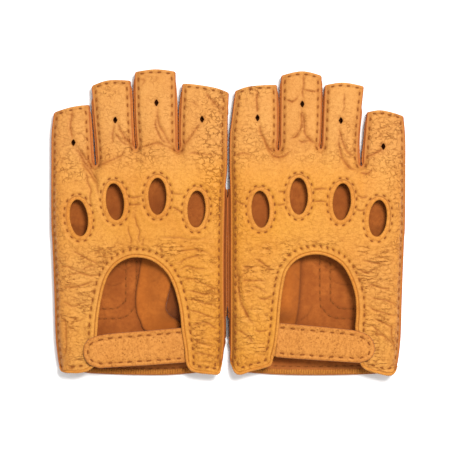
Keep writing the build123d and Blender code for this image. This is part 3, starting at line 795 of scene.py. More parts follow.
class Glove:
    """The outlines and the stitch rows that the pieces of one glove share."""

    def __init__(self, side):
        left = side == "left"
        self.side = side
        self.seed = 11 if left else 29
        self.rest_shift = np.array([331.0, 57.0, 19.0]) if left else np.zeros(3)  # the gloves' grain differs
        self.runs = dict(zip(ORDER, round_corners([smooth(OUTLINES[side][name]) for name in ORDER])))
        self.cuts = cut_points(self.runs)
        self.hem = smooth(WRIST_HEM[side])
        palm = [self.runs[name] for name in ORDER[: ORDER.index("wrist_out")]]
        swell = 1.5 * ease(palm[0][:, 1], 14, 26) * (1 - ease(palm[0][:, 1], 108, 119))
        swell = np.minimum(swell, palm[0][:, 0] - (0.6 if left else -0.2))
        palm[0] = palm[0] - np.column_stack([swell, np.zeros(len(swell))])
        self.palm_side = palm[0]
        self.palm_loop = np.vstack([run[:-1] for run in palm] + [self.hem[1:-1]])
        self.gaps = [self.runs[name] for name in GAP_RUNS]
        self.tips = [self.runs[name] for name in OPEN_ENDS]
        self.seams = []
        for a, b in (("index_far", "middle_near"), ("middle_far", "ring_near"), ("ring_far", "little_near")):
            foot, top = self.runs[b][0], (self.runs[a][0] + self.runs[b][-1]) / 2
            self.seams.append(np.array([(foot[0], 0), foot, top, (top[0], 300)]))
        self.rows = self.stitch_rows()
        total = arc_length(self.runs["arch"])[-1]
        self.arch_pitch = total / round(total / ARCH_PITCH)

    def side_distances(self, p):
        """Distances to the thumb-side edge, to the far edge and to the finger gaps, and the least of these."""
        near = distance(p, self.runs["side_in"][::3])[0]
        far = distance(p, self.runs["side_out"][::3])[0]
        gaps = nearest(p, self.gaps)
        return near, far, gaps, np.minimum(np.minimum(near, far), gaps)

    def inset(self, name, d):
        run = self.runs[name]
        return run - outward(run) * d

    def stitch_rows(self):
        """Every row of stitches on the back: plan line, pitch, length of one stitch, depth of its dimple."""
        rows = []

        def clear_of_outline(line, least):
            return line[nearest(line, self.runs.values()) > least]

        for name in ("side_in", "side_out", *GAP_RUNS):
            d = SIDE_SEAM if name == "side_in" else GAP_SEAM
            line = clear_of_outline(self.inset(name, d), 0.9 * d)
            rows.append((line[line[:, 1] > 9], 5.0, 2.4, 0.3))
        for name in OPEN_ENDS:
            rows.append((clear_of_outline(self.inset(name, TIP_SEAM), 0.9 * TIP_SEAM), *TIP_ROW))
        for name in FLAP_ENDS:
            rows.append((clear_of_outline(self.inset(name, FLAP_SEAM), 0.81 * FLAP_SEAM), 4.4, 2.2, 0.35))
        for u, v, lean in HOLES[self.side]:
            loop = ellipse(u, v, HOLE_U + 3.5, HOLE_V + 3.5, lean, 90)
            rows.append((np.vstack([loop, loop[:1]]), 4.6, 2.0, 0.5))
        return rows

    def arch_stitches(self):
        """The stitches around the opening, set over the puckers; they lean toward its middle at the top."""
        run = self.runs["arch"]
        length = arc_length(run)
        found, s = [], 0.5 * self.arch_pitch
        while s < length[-1]:
            at, ahead = point_at(run, length, np.array([s, s + 1]))
            along = (ahead - at) / np.hypot(*(ahead - at))
            into = np.array([along[1], -along[0]])
            centre = at + into * ARCH_SEAM
            on_dome = ease(centre[1], 56, 66)
            angle = 0.12 + 0.7 * ease(centre[1], 62, 74) + rng.uniform(-0.3, 0.3) * (0.3 + 0.7 * on_dome)
            size = rng.uniform(1.4, 2.2) * on_dome + rng.uniform(2.4, 3.0) * (1 - on_dome)
            if nearest(centre[None], [self.runs[n] for n in FLAP_ENDS])[0] > 4.2:
                found.append((*centre, *(along * np.cos(angle) + into * np.sin(angle)), size, 0.45))
            s += self.arch_pitch * (1 + 0.5 * (1 - on_dome))
        return np.array(found)

    def stitches(self, rows):
        """The centre, direction and length of each stitch of these rows, and its dimple's depth."""
        found = []
        for line, pitch, dash, depth in rows:
            length = arc_length(line)
            count = max(1, int(length[-1] / pitch))
            for s in (np.arange(count) + 0.5) * length[-1] / count:
                s = s + rng.uniform(-0.25, 0.25)
                a, b = point_at(line, length, np.array([s - dash / 2, s + dash / 2]))
                size = np.hypot(*(b - a))
                if size > 0.4 * dash:
                    angle = rng.uniform(-0.18, 0.18)
                    du, dv = (b - a) / size
                    turned = (du * np.cos(angle) - dv * np.sin(angle), du * np.sin(angle) + dv * np.cos(angle))
                    found.append((*(a + b) / 2, *turned, dash * rng.uniform(0.85, 1.1), depth))
        return np.array(found)


def crease_field(p, creases, seed):
    """The creases' change of height at the points, how much painted shade darkens them, and how worn the
    leather beside is, which on the back also sets a broad painted shade.
    """
    drop, dark, worn = np.zeros(len(p)), np.zeros(len(p)), np.zeros(len(p))
    wobble = np.column_stack([noise(p[:, 0], p[:, 1], 5, seed), noise(p[:, 0], p[:, 1], 5, seed + 9)]) * 0.8
    for points, depth, width in creases:
        line = smooth(points, 2.0)
        at = np.nonzero(np.all((p > line.min(0) - 6) & (p < line.max(0) + 6), axis=1))[0]
        gap, along = distance(p[at] + wobble[at], line)
        total = arc_length(line)[-1]
        fade = ease(along, -1, 0.25 * total) * (1 - ease(along, 0.75 * total, total + 1))
        fade = fade * (0.75 + 0.25 * line_noise(along, 4, seed))
        strength = fade * min(1, depth * 2.6)
        # A crease goes down in the middle and has a low lip each side
        drop[at] += 1.25 * depth * fade * (0.35 * bell(gap, 2.1 * width, 1.1 * width) - bell(gap, 0, width))
        dark[at] = np.maximum(dark[at], strength * bell(gap, 0, max(0.5 * width, 0.5)))
        worn[at] = np.maximum(worn[at], strength * bell(gap, 0, 2.2 * width))
    return drop, dark, worn


def along_and_across(u, v, stitch):
    """Where points lie from a stitch's centre, along it and across it."""
    su, sv, du, dv = stitch[:4]
    return (u - su) * du + (v - sv) * dv, (v - sv) * du - (u - su) * dv


def rise(d, flange, width, power=2.3):
    """A seam's cross-section: flat along the flange, then swelling up to the full height."""
    t = np.clip((d - flange) / width, 0, 1)
    return (1 - (1 - t) ** power) ** (1 / power)


def flange_height(v, near, far, gaps):
    """Height of the back's outer face along the seams around the edge."""
    over_thumb = ease(v, 30, 44) * (1 - ease(v, 116, 130)) * bell(near, 0, 14)
    return 6.2 + 1.9 * over_thumb + 1.2 * ease(np.minimum(near, far) - gaps, -4, 4)


def back_height(g, p, stitches):
    """Height of the back's outer face, and the facts that its material reads."""
    u, v = p[:, 0], p[:, 1]
    near, far, gaps, sides = g.side_distances(p)
    cut = 141 - 10 * ease(u, 79, 85)
    toward_fingers = ease(v, cut - 27, cut + 3)
    crown = 13.5 - 3.6 * toward_fingers - 0.35 * ((u - 58) / 50) ** 2 - 0.5 * ease(v, 20, 4)
    crown -= 0.6 * ease(v, cut + 10, cut + 45)
    crown += 0.3 * layered_noise(u, v, 26, g.seed) + 0.10 * layered_noise(u, v, 7, g.seed + 3)
    low = flange_height(v, near, far, gaps)
    z = low + (crown - low) * rise(sides, 1.3, 8.5 - 1.5 * toward_fingers)
    z += 0.18 * bell(sides, 1.0, 0.8) - 0.3 * bell(sides, 2.1, 0.55)
    # Painted shade in the groove beside the stitches along the edges
    fold = 0.22 * bell(sides, 2.2, 0.45)
    # Shallow valleys from the finger gaps down into the hand
    for _, foot, *_ in g.seams:
        gap = distance(p, np.array([foot, foot - (0, 24)]))[0]
        z -= 0.9 * bell(gap, 0, 3.2) * ease(v, foot[1] - 24, foot[1]) * (v < foot[1] + 3)
    drop, dark, worn = crease_field(p, CREASES[g.side], g.seed)
    z += drop
    # Painted shade along the creases
    fold = np.maximum(fold, dark)
    # The band along the wrist opening, and its seam
    arch, arch_along = distance(p, g.runs["arch"])
    bottoms = nearest(p, [g.runs[n] for n in FLAP_ENDS])
    opening = np.minimum(arch, bottoms + 0.4)
    z -= 0.45 * (1 - ease(opening, BEAD, BEAD + 0.9))
    z -= 0.4 * bell(arch, ARCH_SEAM, 1.1) + 0.25 * bell(bottoms, FLAP_SEAM, 1.0) * (arch > FLAP_SEAM)
    # Painted shade beside the bead, where the band tucks under it
    fold = np.maximum(fold, 0.8 * (1 - ease(opening, BEAD, BEAD + 0.8)))
    # The stitches gather the leather around the top of the opening into short radial puckers
    radial = bell(arch, 5.2, 2.4) * ease(v, 58, 68) * (arch > 1.6)
    radial = radial * (0.65 + 0.35 * line_noise(arch_along, 3.0, g.seed + 20))
    pucker = np.cos((arch_along / g.arch_pitch - 0.5) * 2 * np.pi)
    z -= 0.3 * radial * pucker
    # Painted shade in the puckers' hollows
    fold = np.maximum(fold, 0.35 * radial * ease(pucker, 0.5, 1.0))
    # Knuckle holes: the leather turns down under the rolled rim, with a ring of painted shade at the rim's edge
    for u0, v0, lean in HOLES[g.side]:
        gap = distance(p, ellipse(u0, v0, HOLE_U, HOLE_V, lean), True)[0]
        z -= 0.55 * (1 - ease(gap, RIM - 0.5, RIM + 0.7)) + 0.3 * bell(gap, 3.6, 0.8)
        z += 0.25 * bell(gap, 5.6, 1.6)
        fold = np.maximum(fold, 0.7 * bell(gap, RIM - 0.1, 0.45))
    # A dimple under each stitch, with painted shade in it
    dip, spot = np.zeros(len(p)), np.zeros(len(p))
    for stitch in stitches:
        su, sv, _, _, size, depth = stitch
        at = np.nonzero((np.abs(u - su) < 3.2) & (np.abs(v - sv) < 3.2))[0]
        along, across = along_and_across(u[at], v[at], stitch)
        dip[at] = np.maximum(dip[at], depth * bell(along, 0, 0.6 * size) * bell(across, 0, 0.9))
        spot[at] = np.maximum(spot[at], bell(along, 0, 0.66 * size) * bell(across, 0, 0.75))
    z -= dip
    fold = np.maximum(fold, 0.85 * spot)
    # Fingertip hems and cut edges turn over, with painted shade along the tips' stitches
    tips = nearest(p, g.tips)
    z += 0.25 * bell(tips, 0.9, 0.7) - 0.45 * (1 - ease(tips, 0.0, 0.7))
    fold = np.maximum(fold, 0.3 * bell(tips, TIP_SEAM, 0.5))
    for u0, v0 in VENTS[g.side]:
        gap = np.hypot((u - u0) * 1.5, v - v0)
        z -= 0.5 * bell(gap, 0, 2.8)
        # Painted shade in the dent round each vent
        fold = np.maximum(fold, 0.6 * bell(gap, 0, 2.6))
    drop, dark, pebble, wrinkle = wrinkles(g, u, v, near, far, arch, sides)
    z += drop
    worn = worn * (0.25 + 0.75 * ease(v, 106, 124))
    # Darker, redder edges: the leather's own reddish edge colour with painted shade where the edges and cut
    # rims turn down, and a broad painted shade beside the creases
    rim = np.minimum(sides, tips + 0.25)
    shade = 0.34 * bell(sides, 0, 1.9) + 0.7 * (1 - ease(rim, 0, 0.75)) + 0.1 * bell(sides, 0, 6)
    shade += 0.16 * bell(far, 0, 8) + 0.3 * worn
    tint = (1 - ease(v, 118, 150)) * (0.42 + 0.58 * np.clip(1 - u / 90, 0, 1))
    tint += 0.18 * noise(u, v, 30, g.seed + 15)
    return z, {"fold": np.maximum(fold, dark), "shade": shade, "pebble": np.maximum(pebble, 0.7 * worn),
               "wrinkle": wrinkle, "tint": np.clip(tint, 0, 1)}


def wrinkles(g, u, v, near, far, arch, sides):
    """The back's worn grain: change of height, painted shade in its lines, how cracked and how furrowed it is.
    """
    seed = g.seed + 200
    bent_u = u + 1.7 * noise(u, v, 8, seed) + 0.8 * noise(u, v, 3.1, seed + 1)
    bent_v = v + 1.5 * noise(u, v, 11, seed + 2) + 0.6 * noise(u, v, 3.3, seed + 3)
    clear = ease(arch, 2.4, 6.5) * ease(sides, 0.8, 2.8)
    for u0, v0, lean in HOLES[g.side]:
        gap = distance(np.column_stack([u, v]), ellipse(u0, v0, HOLE_U, HOLE_V, lean, 32), True)[0]
        clear = clear * ease(gap, 4.2, 6.5)
    beside = (1 - ease(arch, 26, 40)) * (1 - ease(v, 74, 92))
    thumb_side, far_side = bell(near, 0, 15), bell(far, 0, 14)
    if g.side == "left":
        network = thumb_side * ease(v, 88, 102) + 0.45 * far_side + 0.5 * thumb_side
    else:
        network = far_side * (0.55 + 0.45 * ease(v, 60, 90)) + 0.55 * thumb_side
    fingers = bell(v + 9 * ease(u, 76, 88), 137, 8)
    knuckles = bell(v, 106, 10) * ease(u, 22, 34)
    worn = ease(noise(u, v, 15, seed + 10), 0.0, 0.7) * ease(v, 120, 145)
    broken = ease(noise(u, v, 6, seed + 8), -0.45, 0.5)
    long_line = bell(cells(bent_u / 13, bent_v / 3.1, seed + 4), 0, 0.15)
    long_line *= np.clip(beside + 0.45 * knuckles + 0.25 * network, 0, 1)
    long_line *= ease(noise(u, v, 4.5, seed + 6), -0.6, 0.35)
    short_line = bell(cells(bent_u / 4.2, bent_v / 3.0, seed + 5), 0, 0.17) * broken
    short_line *= np.clip(network * (1 - 0.6 * beside) + 0.5 * fingers + 0.6 * worn + 0.3 * knuckles, 0, 1)
    drop = -(0.2 * long_line + 0.14 * short_line) * clear
    drop += 0.08 * clear * noise(u, v, 3.4, seed + 9) * np.clip(0.4 + network + beside, 0, 1)
    # Painted shade in the wrinkle lines
    dark = 0.14 * np.maximum(long_line, short_line) * clear
    grain = 0.15 + 0.7 * network * (1 - 0.5 * beside) + 0.2 * beside + 0.4 * fingers + 0.35 * worn
    grain = np.clip(grain + 0.3 * layered_noise(u, v, 18, g.seed + 5), 0, 1) * (0.25 + 0.75 * clear)
    furrows = np.clip(1.3 * beside * (1 - 0.5 * network) + 0.5 * knuckles + 0.35 * fingers, 0, 1)
    return drop, dark, grain, furrows * broken * clear


def palm_height(g, p):
    """Height of the palm leather's upper, inner face."""
    u, v = p[:, 0], p[:, 1]
    near, far, gaps, sides = g.side_distances(p)
    floor = 2.05 + 0.25 * layered_noise(u, v, 20, g.seed + 40) * ease(v, 0, 20)
    over_thumb = ease(v, 32, 44) * (1 - ease(v, 119, 133)) * (1 - ease(u, 36, 52 if g.side == "left" else 47))
    floor = floor + (7.55 - floor) * over_thumb
    floor = floor + (5.2 - floor) * ease(v, 84, 96) * (1 - ease(v, 118, 130)) * (1 - over_thumb)
    low = flange_height(v, near, far, gaps) - 1.12 - 2.1 * ease(np.minimum(near, far) - gaps, -4, 4)
    return low + (floor - low) * rise(sides, 1.3, 7.0)


# ---------------------------------------------------------------- pieces


def finish(g, obj, body, joint=None, node=None):
    """Rides a piece on a body; a piece given a joint only has its transform baked. Hides the CAD node it stands
    for.
    """
    if joint is None:
        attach(obj, f"{g.side}_{body}")
    else:
        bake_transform(obj)
    if node:
        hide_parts(f"{g.side}_{node}")


def finger_joint(finger):
    cut = HIDDEN_CUT[finger]
    return (50.0, cut, 0.0), (50.0, cut + BLEND, 0.0)


def sections():
    """The hand and the four fingers: label from finger_of, name, body and joint."""
    yield -1, "", "glove", None
    for k, finger in enumerate(FINGERS):
        yield k, finger, f"{finger}_finger", finger_joint(finger)


def leather_panels(g, layer, p, outer, faces, materials, normals, facts):
    """The back or the palm as five shells, which meet along the fingers' creases."""
    label = finger_of(p[faces].mean(1), g.seams)
    on_cut = nearest(p, g.cuts.values()) < 1e-3
    for k, finger, body, joint in sections():
        name = f"{finger}_{layer}_leather" if finger else f"{layer}_leather"
        obj = shell(g, name, outer, faces[label == k].tolist(), LEATHER, materials, normals, facts, on_cut)
        finish(g, obj, body, joint, f"{finger}_finger_{layer}" if finger else layer)


def thread_mesh(stitches, height, facing=1.0, radius=0.4):
    """One short thread for each stitch, arched over the leather with its ends going down into it."""
    t = np.array([-0.5, -0.36, 0.0, 0.36, 0.5])
    arch = np.array([-0.3, 0.12, 0.22, 0.12, -0.3])
    thickness = radius * np.array([[0.6], [1], [1], [1], [0.6]])
    parts = []
    for (u, v, du, dv, size, _), z in zip(stitches, height):
        path = np.column_stack([u + du * size * t, v + dv * size * t, z + facing * arch])
        parts.append(tube(path, thickness, UP, 6))
    return join(parts)


def add_threads(g, name, body, stitches, height, joint=None, slot="glove_leather", **shape):
    obj = make_object(g, f"{name}_stitches", *thread_mesh(stitches, height, **shape), [THREAD])
    finish(g, obj, body, joint)


def section_threads(g, layer, stitches, height, facing=1.0):
    where = finger_of(stitches[:, :2], g.seams)
    for k, finger, body, joint in sections():
        name, here = f"{finger or 'hand'}_{layer}", where == k
        add_threads(g, name, body, stitches[here], height[here], joint, facing=facing)


def inset_run(g, name, d):
    """A run of the outline moved inward, coming back to the outline where it meets the glove's sides."""
    run = g.runs[name]
    length = arc_length(run)
    from_side = {"wrist_in": length[-1] - length, "wrist_out": length}.get(name)
    fade = 1.0 if from_side is None else ease(from_side, 0, 5)[:, None]
    return run - outward(run) * d * fade


def back_pieces(g):
    opening = ("arch", *FLAP_ENDS)
    loop = np.vstack([(inset_run(g, n, BEAD) if n in opening else g.runs[n])[:-1] for n in ORDER])
    holes = [ellipse(u, v, HOLE_U + RIM - 0.4, HOLE_V + RIM - 0.4, lean, 84) for u, v, lean in HOLES[g.side]]
    corners = np.array([(-VENT_U, 0), (0, VENT_V), (VENT_U, 0), (0, -VENT_V), (-VENT_U, 0)])
    vents = [smooth(corners + vent, 0.6)[:-1] for vent in VENTS[g.side]]
    p, faces = triangulate([loop, *holes, *vents], g.cuts.values(), EDGE_RINGS, FINE_STEP)
    stitches = np.vstack([g.stitches(g.rows), g.arch_stitches()])
    z, facts = back_height(g, p, stitches)
    points = np.column_stack([p, z])
    normals = vertex_normals(points, faces)
    leather_panels(g, "back", p, points, faces, [TAN, SUEDE], normals, facts)
    section_threads(g, "back", stitches, back_height(g, stitches[:, :2], stitches)[0])
    return stitches


def rim_pieces(g, stitches):
    """The rolled rims of the knuckle holes, with the ribs of their whipping thread."""
    # The rim's cross-section: distance out from the hole's edge, and height from the back beside it
    profile = [(RIM + 0.5, -0.8), (RIM, -0.42), (RIM * 0.8, -0.24), (RIM * 0.5, -0.14), (RIM * 0.25, -0.16),
               (0.12, -0.4), (-0.02, -0.8), (0.25, -1.25), (0.9, -1.6)]
    parts = []
    for u, v, lean in HOLES[g.side]:
        loop = ellipse(u, v, HOLE_U, HOLE_V, lean, RIM_POINTS)
        n = -loop_normals(loop)
        base = back_height(g, loop + n * 6.0, stitches)[0]
        base = np.mean([np.roll(base, k) for k in range(-12, 13)], axis=0)
        wave = 0.12 * noise(loop[:, 0], loop[:, 1], 3.0, g.seed + 70)
        uneven = 0.7 + 0.3 * noise(loop[:, 0], loop[:, 1], 2, g.seed + 71)
        whip = 0.13 * np.cos(np.arange(RIM_POINTS) * np.pi / 2) * uneven
        rows = []
        for d, dz in profile:
            bead = whip * bell(d, 0.3, 0.5)
            out = d + wave * 0.6 - bead
            rows.append(np.column_stack([loop + n * out[:, None], base + dz + wave * 0.4 + bead]))
        points = np.vstack(rows)
        parts.append((points, oriented(points, grid_faces(len(profile), RIM_POINTS, True), UP)))
    obj = shell(g, "knuckle_rims", *join(parts), 0.45, [RIM_TAN])
    finish(g, obj, "glove", None, "knuckle_bindings")


def bead_piece(g, stitches):
    """The rolled binding around the wrist opening and along both flaps, with the ribs of its thread."""
    runs = ("wrist_out", "arch", "wrist_in")
    lines = (np.vstack([inset_run(g, n, inset)[:-1] for n in runs]) for inset in (BEAD * 0.5, 3.2))
    line, probe = (resample(each, BEAD_STEP) for each in lines)
    z = back_height(g, probe, stitches)[0]
    z = np.interp(np.linspace(0, 1, len(line)), np.linspace(0, 1, len(z)), z)
    z = np.convolve(np.pad(z, 12, "edge"), np.ones(25) / 25, "valid")
    length = np.arange(len(line)) * BEAD_STEP
    ends = ease(np.minimum(length, length[-1] - length), 0, 7)
    turn = np.arange(12) * 2 * np.pi / 12
    whip = 0.07 * np.cos(length[:, None] * 2 * np.pi / (4 * BEAD_STEP) + 1.5 * np.cos(turn))
    radius = 0.92 + 0.07 * line_noise(length, 2.4, g.seed + 60)[:, None] + whip
    path = np.column_stack([line, z - 0.5 - 0.5 * (1 - ends)])
    bead = tube(path, radius * (0.45 + 0.55 * ends)[:, None], UP, 12)
    obj = make_object(g, "opening_bead", *bead, [RIM_TAN])
    finish(g, obj, "glove", None, "arch_binding")


PATCH_ROW = (4.4, 2.3, 0.3)  # pitch of the stitches, length of one stitch, depth of its dimple


def patch_rows():
    """The two rows of stitches that hold the palm patch, which show on both faces of the palm."""
    outer = smooth([(57.0, 122), (57.0, 50), (58.6, 42.4), (62.6, 37.4), (70, 35.6), (101, 35.6)])
    inner = smooth([(63.4, 120), (63.4, 52), (64.6, 46.0), (68.2, 42.4), (74, 41.6), (101, 41.6)])
    return [(outer, *PATCH_ROW), (inner, *PATCH_ROW)]


LOBES = {
    "left": [(54.2, 84), (54.0, 74), (55.6, 62), (57.4, 50), (57.0, 40), (54.5, 33.5), (51.5, 28), (40, 26),
             (31, 28.5), (29.5, 33), (35.5, 37), (38.5, 42), (37.0, 50), (34.6, 58), (33.0, 66), (32, 80)],
    "right": [(45.6, 86), (45.4, 74), (45.0, 60), (44.4, 48), (43.2, 38), (40.6, 29), (34, 26), (24, 30),
              (22, 50), (24, 70), (30, 84)],
}
PALM_CREASES = [
    ([(58, 68), (64, 66), (69, 68)], 0.3, 0.8), ([(66, 58), (72, 56), (77, 58)], 0.25, 0.8),
    ([(44, 33), (50, 38), (53, 45)], 0.3, 1.0), ([(60, 12), (75, 10), (90, 12)], 0.3, 1.0),
    ([(20, 14), (35, 12), (50, 14)], 0.3, 1.0),
]
THUMB_CREASES = [
    ([(2, 60), (12, 58), (24, 61), (34, 59)], 0.3, 0.9), ([(3, 72), (14, 74), (28, 71)], 0.25, 0.8),
    ([(4, 88), (16, 86), (28, 89)], 0.25, 0.8), ([(5, 50), (18, 48), (32, 51)], 0.35, 0.9),
]
LOBE_CREASES = [([(40, 64), (44, 60), (49, 58)], 0.25, 1.2), ([(38, 45), (44, 48), (50, 46)], 0.2, 1.0)]


def palm_pieces(g):
    p, faces = triangulate([g.palm_loop], g.cuts.values())
    hem = g.hem - outward(g.hem) * (3.9 if g.side == "left" else 5.2)
    hem = hem[nearest(hem, [g.hem, g.runs["side_in"]]) > 3.2]
    inner_rows = [*patch_rows(), (hem, 4.6, 2.3, 0.35)]
    tip_rows = [(g.inset(name, TIP_SEAM)[3:-3], *TIP_ROW) for name in OPEN_ENDS]
    side_rows = g.rows[: 2 + len(GAP_RUNS)]
    inner_stitches = g.stitches(inner_rows)
    outer_stitches = g.stitches(tip_rows + side_rows)
    z, fold = palm_height(g, p), np.zeros(len(p))
    for line, *_ in inner_rows:
        gap = distance(p, line[::3])[0]
        z -= 0.22 * bell(gap, 0, 0.8)
        # Painted shade in the stitch grooves
        fold = np.maximum(fold, 0.28 * bell(gap, 0, 0.6))
    drop, dark, _ = crease_field(p, PALM_CREASES, g.seed + 5)
    hem_gap = distance(p, g.hem)[0]
    z += drop - 0.2 * (1 - ease(np.minimum(nearest(p, g.tips), hem_gap), 0, 0.8))
    inner = np.column_stack([p, z])
    outer = inner - vertex_normals(inner, faces) * LEATHER
    outer[:, 2] = np.maximum(outer[:, 2], 0.12)
    faces = faces[:, ::-1]
    normals = vertex_normals(outer, faces)
    u, v = p[:, 0], p[:, 1]
    lobe = smooth([*LOBES[g.side], LOBES[g.side][0]])
    # Painted shade in the side seams' corners inside the glove, a painted shadow behind the left glove's thumb
    # gusset and beside both gussets' edges, and painted shade under the back near the knuckles; the hem's edge
    # is darker too
    shadow_behind_lobe = np.exp(-((np.hypot((u - 30) * 1.1, (v - 46) * 0.7) / 9) ** 4)) * (g.side == "left")
    shade = 0.5 * bell(g.side_distances(p)[3], 0, 2.0) + 0.45 * bell(distance(p, g.palm_side)[0], 0, 2.2)
    shade += 1.3 * shadow_behind_lobe + 0.5 * bell(distance(p, lobe[::2])[0], 0, 1.6)
    shade += 0.2 * ease(v, 84, 92) + 0.3 * (1 - ease(hem_gap, 1.0, 4.5))
    pebble = np.clip(0.4 + 0.5 * layered_noise(u, v, 22, g.seed + 6), 0, 1)
    # fold: painted shade in the palm's creases and stitch grooves
    facts = {"fold": np.maximum(fold, 0.7 * dark), "shade": shade, "tint": 0.1 * (1 - ease(hem_gap, 4.5, 8)),
             "pebble": pebble}
    leather_panels(g, "palm", p, outer, faces, [PALM_TAN, SUEDE], normals, facts)
    # Stitches on the palm's inner face show through the wrist opening and at the hem
    seen = inner_stitches[inner_stitches[:, 1] < 84]
    add_threads(g, "palm_inner", "glove", seen, palm_height(g, seen[:, :2]) - 0.1, radius=0.28)
    whip = resample(g.hem + np.array([0.0, 1.9]), 1.05)
    whip = whip[(whip[:, 0] > 8) & (whip[:, 0] < 100)]
    ribs = [(u0, v0, rng.uniform(-0.12, 0.12), 1.0, rng.uniform(2.8, 3.4), 0) for u0, v0 in whip]
    points, faces = thread_mesh(ribs, palm_height(g, whip) - 0.05, radius=0.45)
    ribs = make_object(g, "hem_ribs", points, faces, [RIM_TAN], facts={"shade": np.full(len(points), 0.1)})
    finish(g, ribs, "glove")
    section_threads(g, "palm", outer_stitches, palm_height(g, outer_stitches[:, :2]) - LEATHER, facing=-1.0)


def patch_piece(g):
    """The patch sewn under the palm, which follows the palm's lower face."""
    near_side = smooth([(55.6, 124), (55.5, 90), (55.5, 50), (57.2, 41.5), (61.5, 36.0), (70, 34.0),
                        (101.5, 34.0)])
    far_side = smooth([(101.5, 34.0), (102.6, 60), (103.2, 100), (103, 124)])
    top = smooth([(103, 124), (80, 124.6), (55.6, 124)])
    loop = np.vstack([near_side[:-1], far_side[:-1], top[:-1]])
    p, faces = triangulate([loop])
    top_row = smooth([(58, 122.4), (80, 123), (101, 122.4)])
    far_row = smooth([(100.6, 120), (100.8, 100), (100.4, 60), (99.6, 37)])
    rows = [*patch_rows(), (top_row, *PATCH_ROW), (far_row, *PATCH_ROW)]
    stitches = g.stitches(rows)

    def under_palm(q):
        return np.maximum(palm_height(g, q) - LEATHER - 0.9, 0.06)

    z = under_palm(p) + 0.35 * (1 - ease(distance(p, loop, True)[0], 0, 0.8))
    fold = np.zeros(len(p))
    for line, *_ in rows:
        d = distance(p, line[::3])[0]
        z += 0.16 * bell(d, 0, 0.9)
        # Painted shade in the stitch grooves
        fold = np.maximum(fold, 0.5 * bell(d, 0, 0.6))
    pebble = np.clip(0.5 + 0.6 * layered_noise(p[:, 0], p[:, 1], 20, g.seed + 8), 0, 1)
    faces = faces[:, ::-1].tolist()
    obj = shell(g, "palm_patch_leather", np.column_stack([p, z]), faces, 0.8, [PALM_TAN, SUEDE],
                facts={"fold": fold, "pebble": pebble})
    finish(g, obj, "glove", None, "palm_patch")
    add_threads(g, "palm_patch", "glove", stitches, under_palm(stitches[:, :2]) + 0.28, slot="patch_leather",
                facing=-1.0, radius=0.24)


def fourchette_pieces(g):
    """The side strips between the fingers, which bulge into each gap but stop short of each other."""
    for name, (finger, where, facing) in GAP_RUNS.items():
        line = g.runs[name]
        out = outward(line)
        if name.endswith("far"):
            line = line[::-1]
            out = -outward(line)
        line, out = line[:-2], out[:-2]
        length = arc_length(line)
        probe = line - out * 0.9
        top = flange_height(probe[:, 1], *g.side_distances(probe)[:3]) - 0.95
        bottom = palm_height(g, probe) - 0.05
        half_gap = distance(line, g.runs[facing])[0] / 2
        fill = 0.94 - 0.06 * line_noise(length, 6, g.seed + 90)
        fill -= 0.3 * ease(length, length[-1] - 14, length[-1])
        bulge = np.clip((half_gap - 0.07) * fill, 0.03, 1.7) * (1 - 0.8 * ease(half_gap, 1.5, 2.6))
        bulge *= 1 - 0.7 * ease(length, length[-1] - 5, length[-1])
        q = np.linspace(0, 1, 9)
        across = -0.9 + (0.9 + bulge[:, None]) * np.sin(np.pi * q) ** 0.7
        plan = line[:, None, :] + out[:, None, :] * across[:, :, None]
        z = top[:, None] + (bottom - top)[:, None] * q
        points = np.concatenate([plan, z[:, :, None]], axis=2).reshape(-1, 3)
        away = np.repeat(np.column_stack([out, np.zeros(len(out))]), len(q), 0)
        faces = oriented(points, grid_faces(len(line), len(q)), away)
        # Painted shade down the middle of each strip, deep in the gap between the fingers
        facts = {"shade": np.tile(0.5 * np.sin(np.pi * q) ** 4, len(line))}
        name = f"{finger}_fourchette_leather_{where}"
        obj = shell(g, name, points, faces, 0.75, [GUSSET_TAN, SUEDE], facts=facts)
        node = f"{finger}_fourchette_{where}"
        finish(g, obj, f"{finger}_finger", finger_joint(finger), node)


THUMB = {  # middle at the base and tip, half-width at the base and tip
    "left": (19.0, 16.2, 18.4, 15.65),
    "right": (17.9, 15.2, 18.3, 15.6),
}
THUMB_LENGTH, THUMB_HEM = 79.0, 76.7
THUMB_JOINT = ((20.0, 42.0, 0.0), (20.0, 55.0, 0.0))


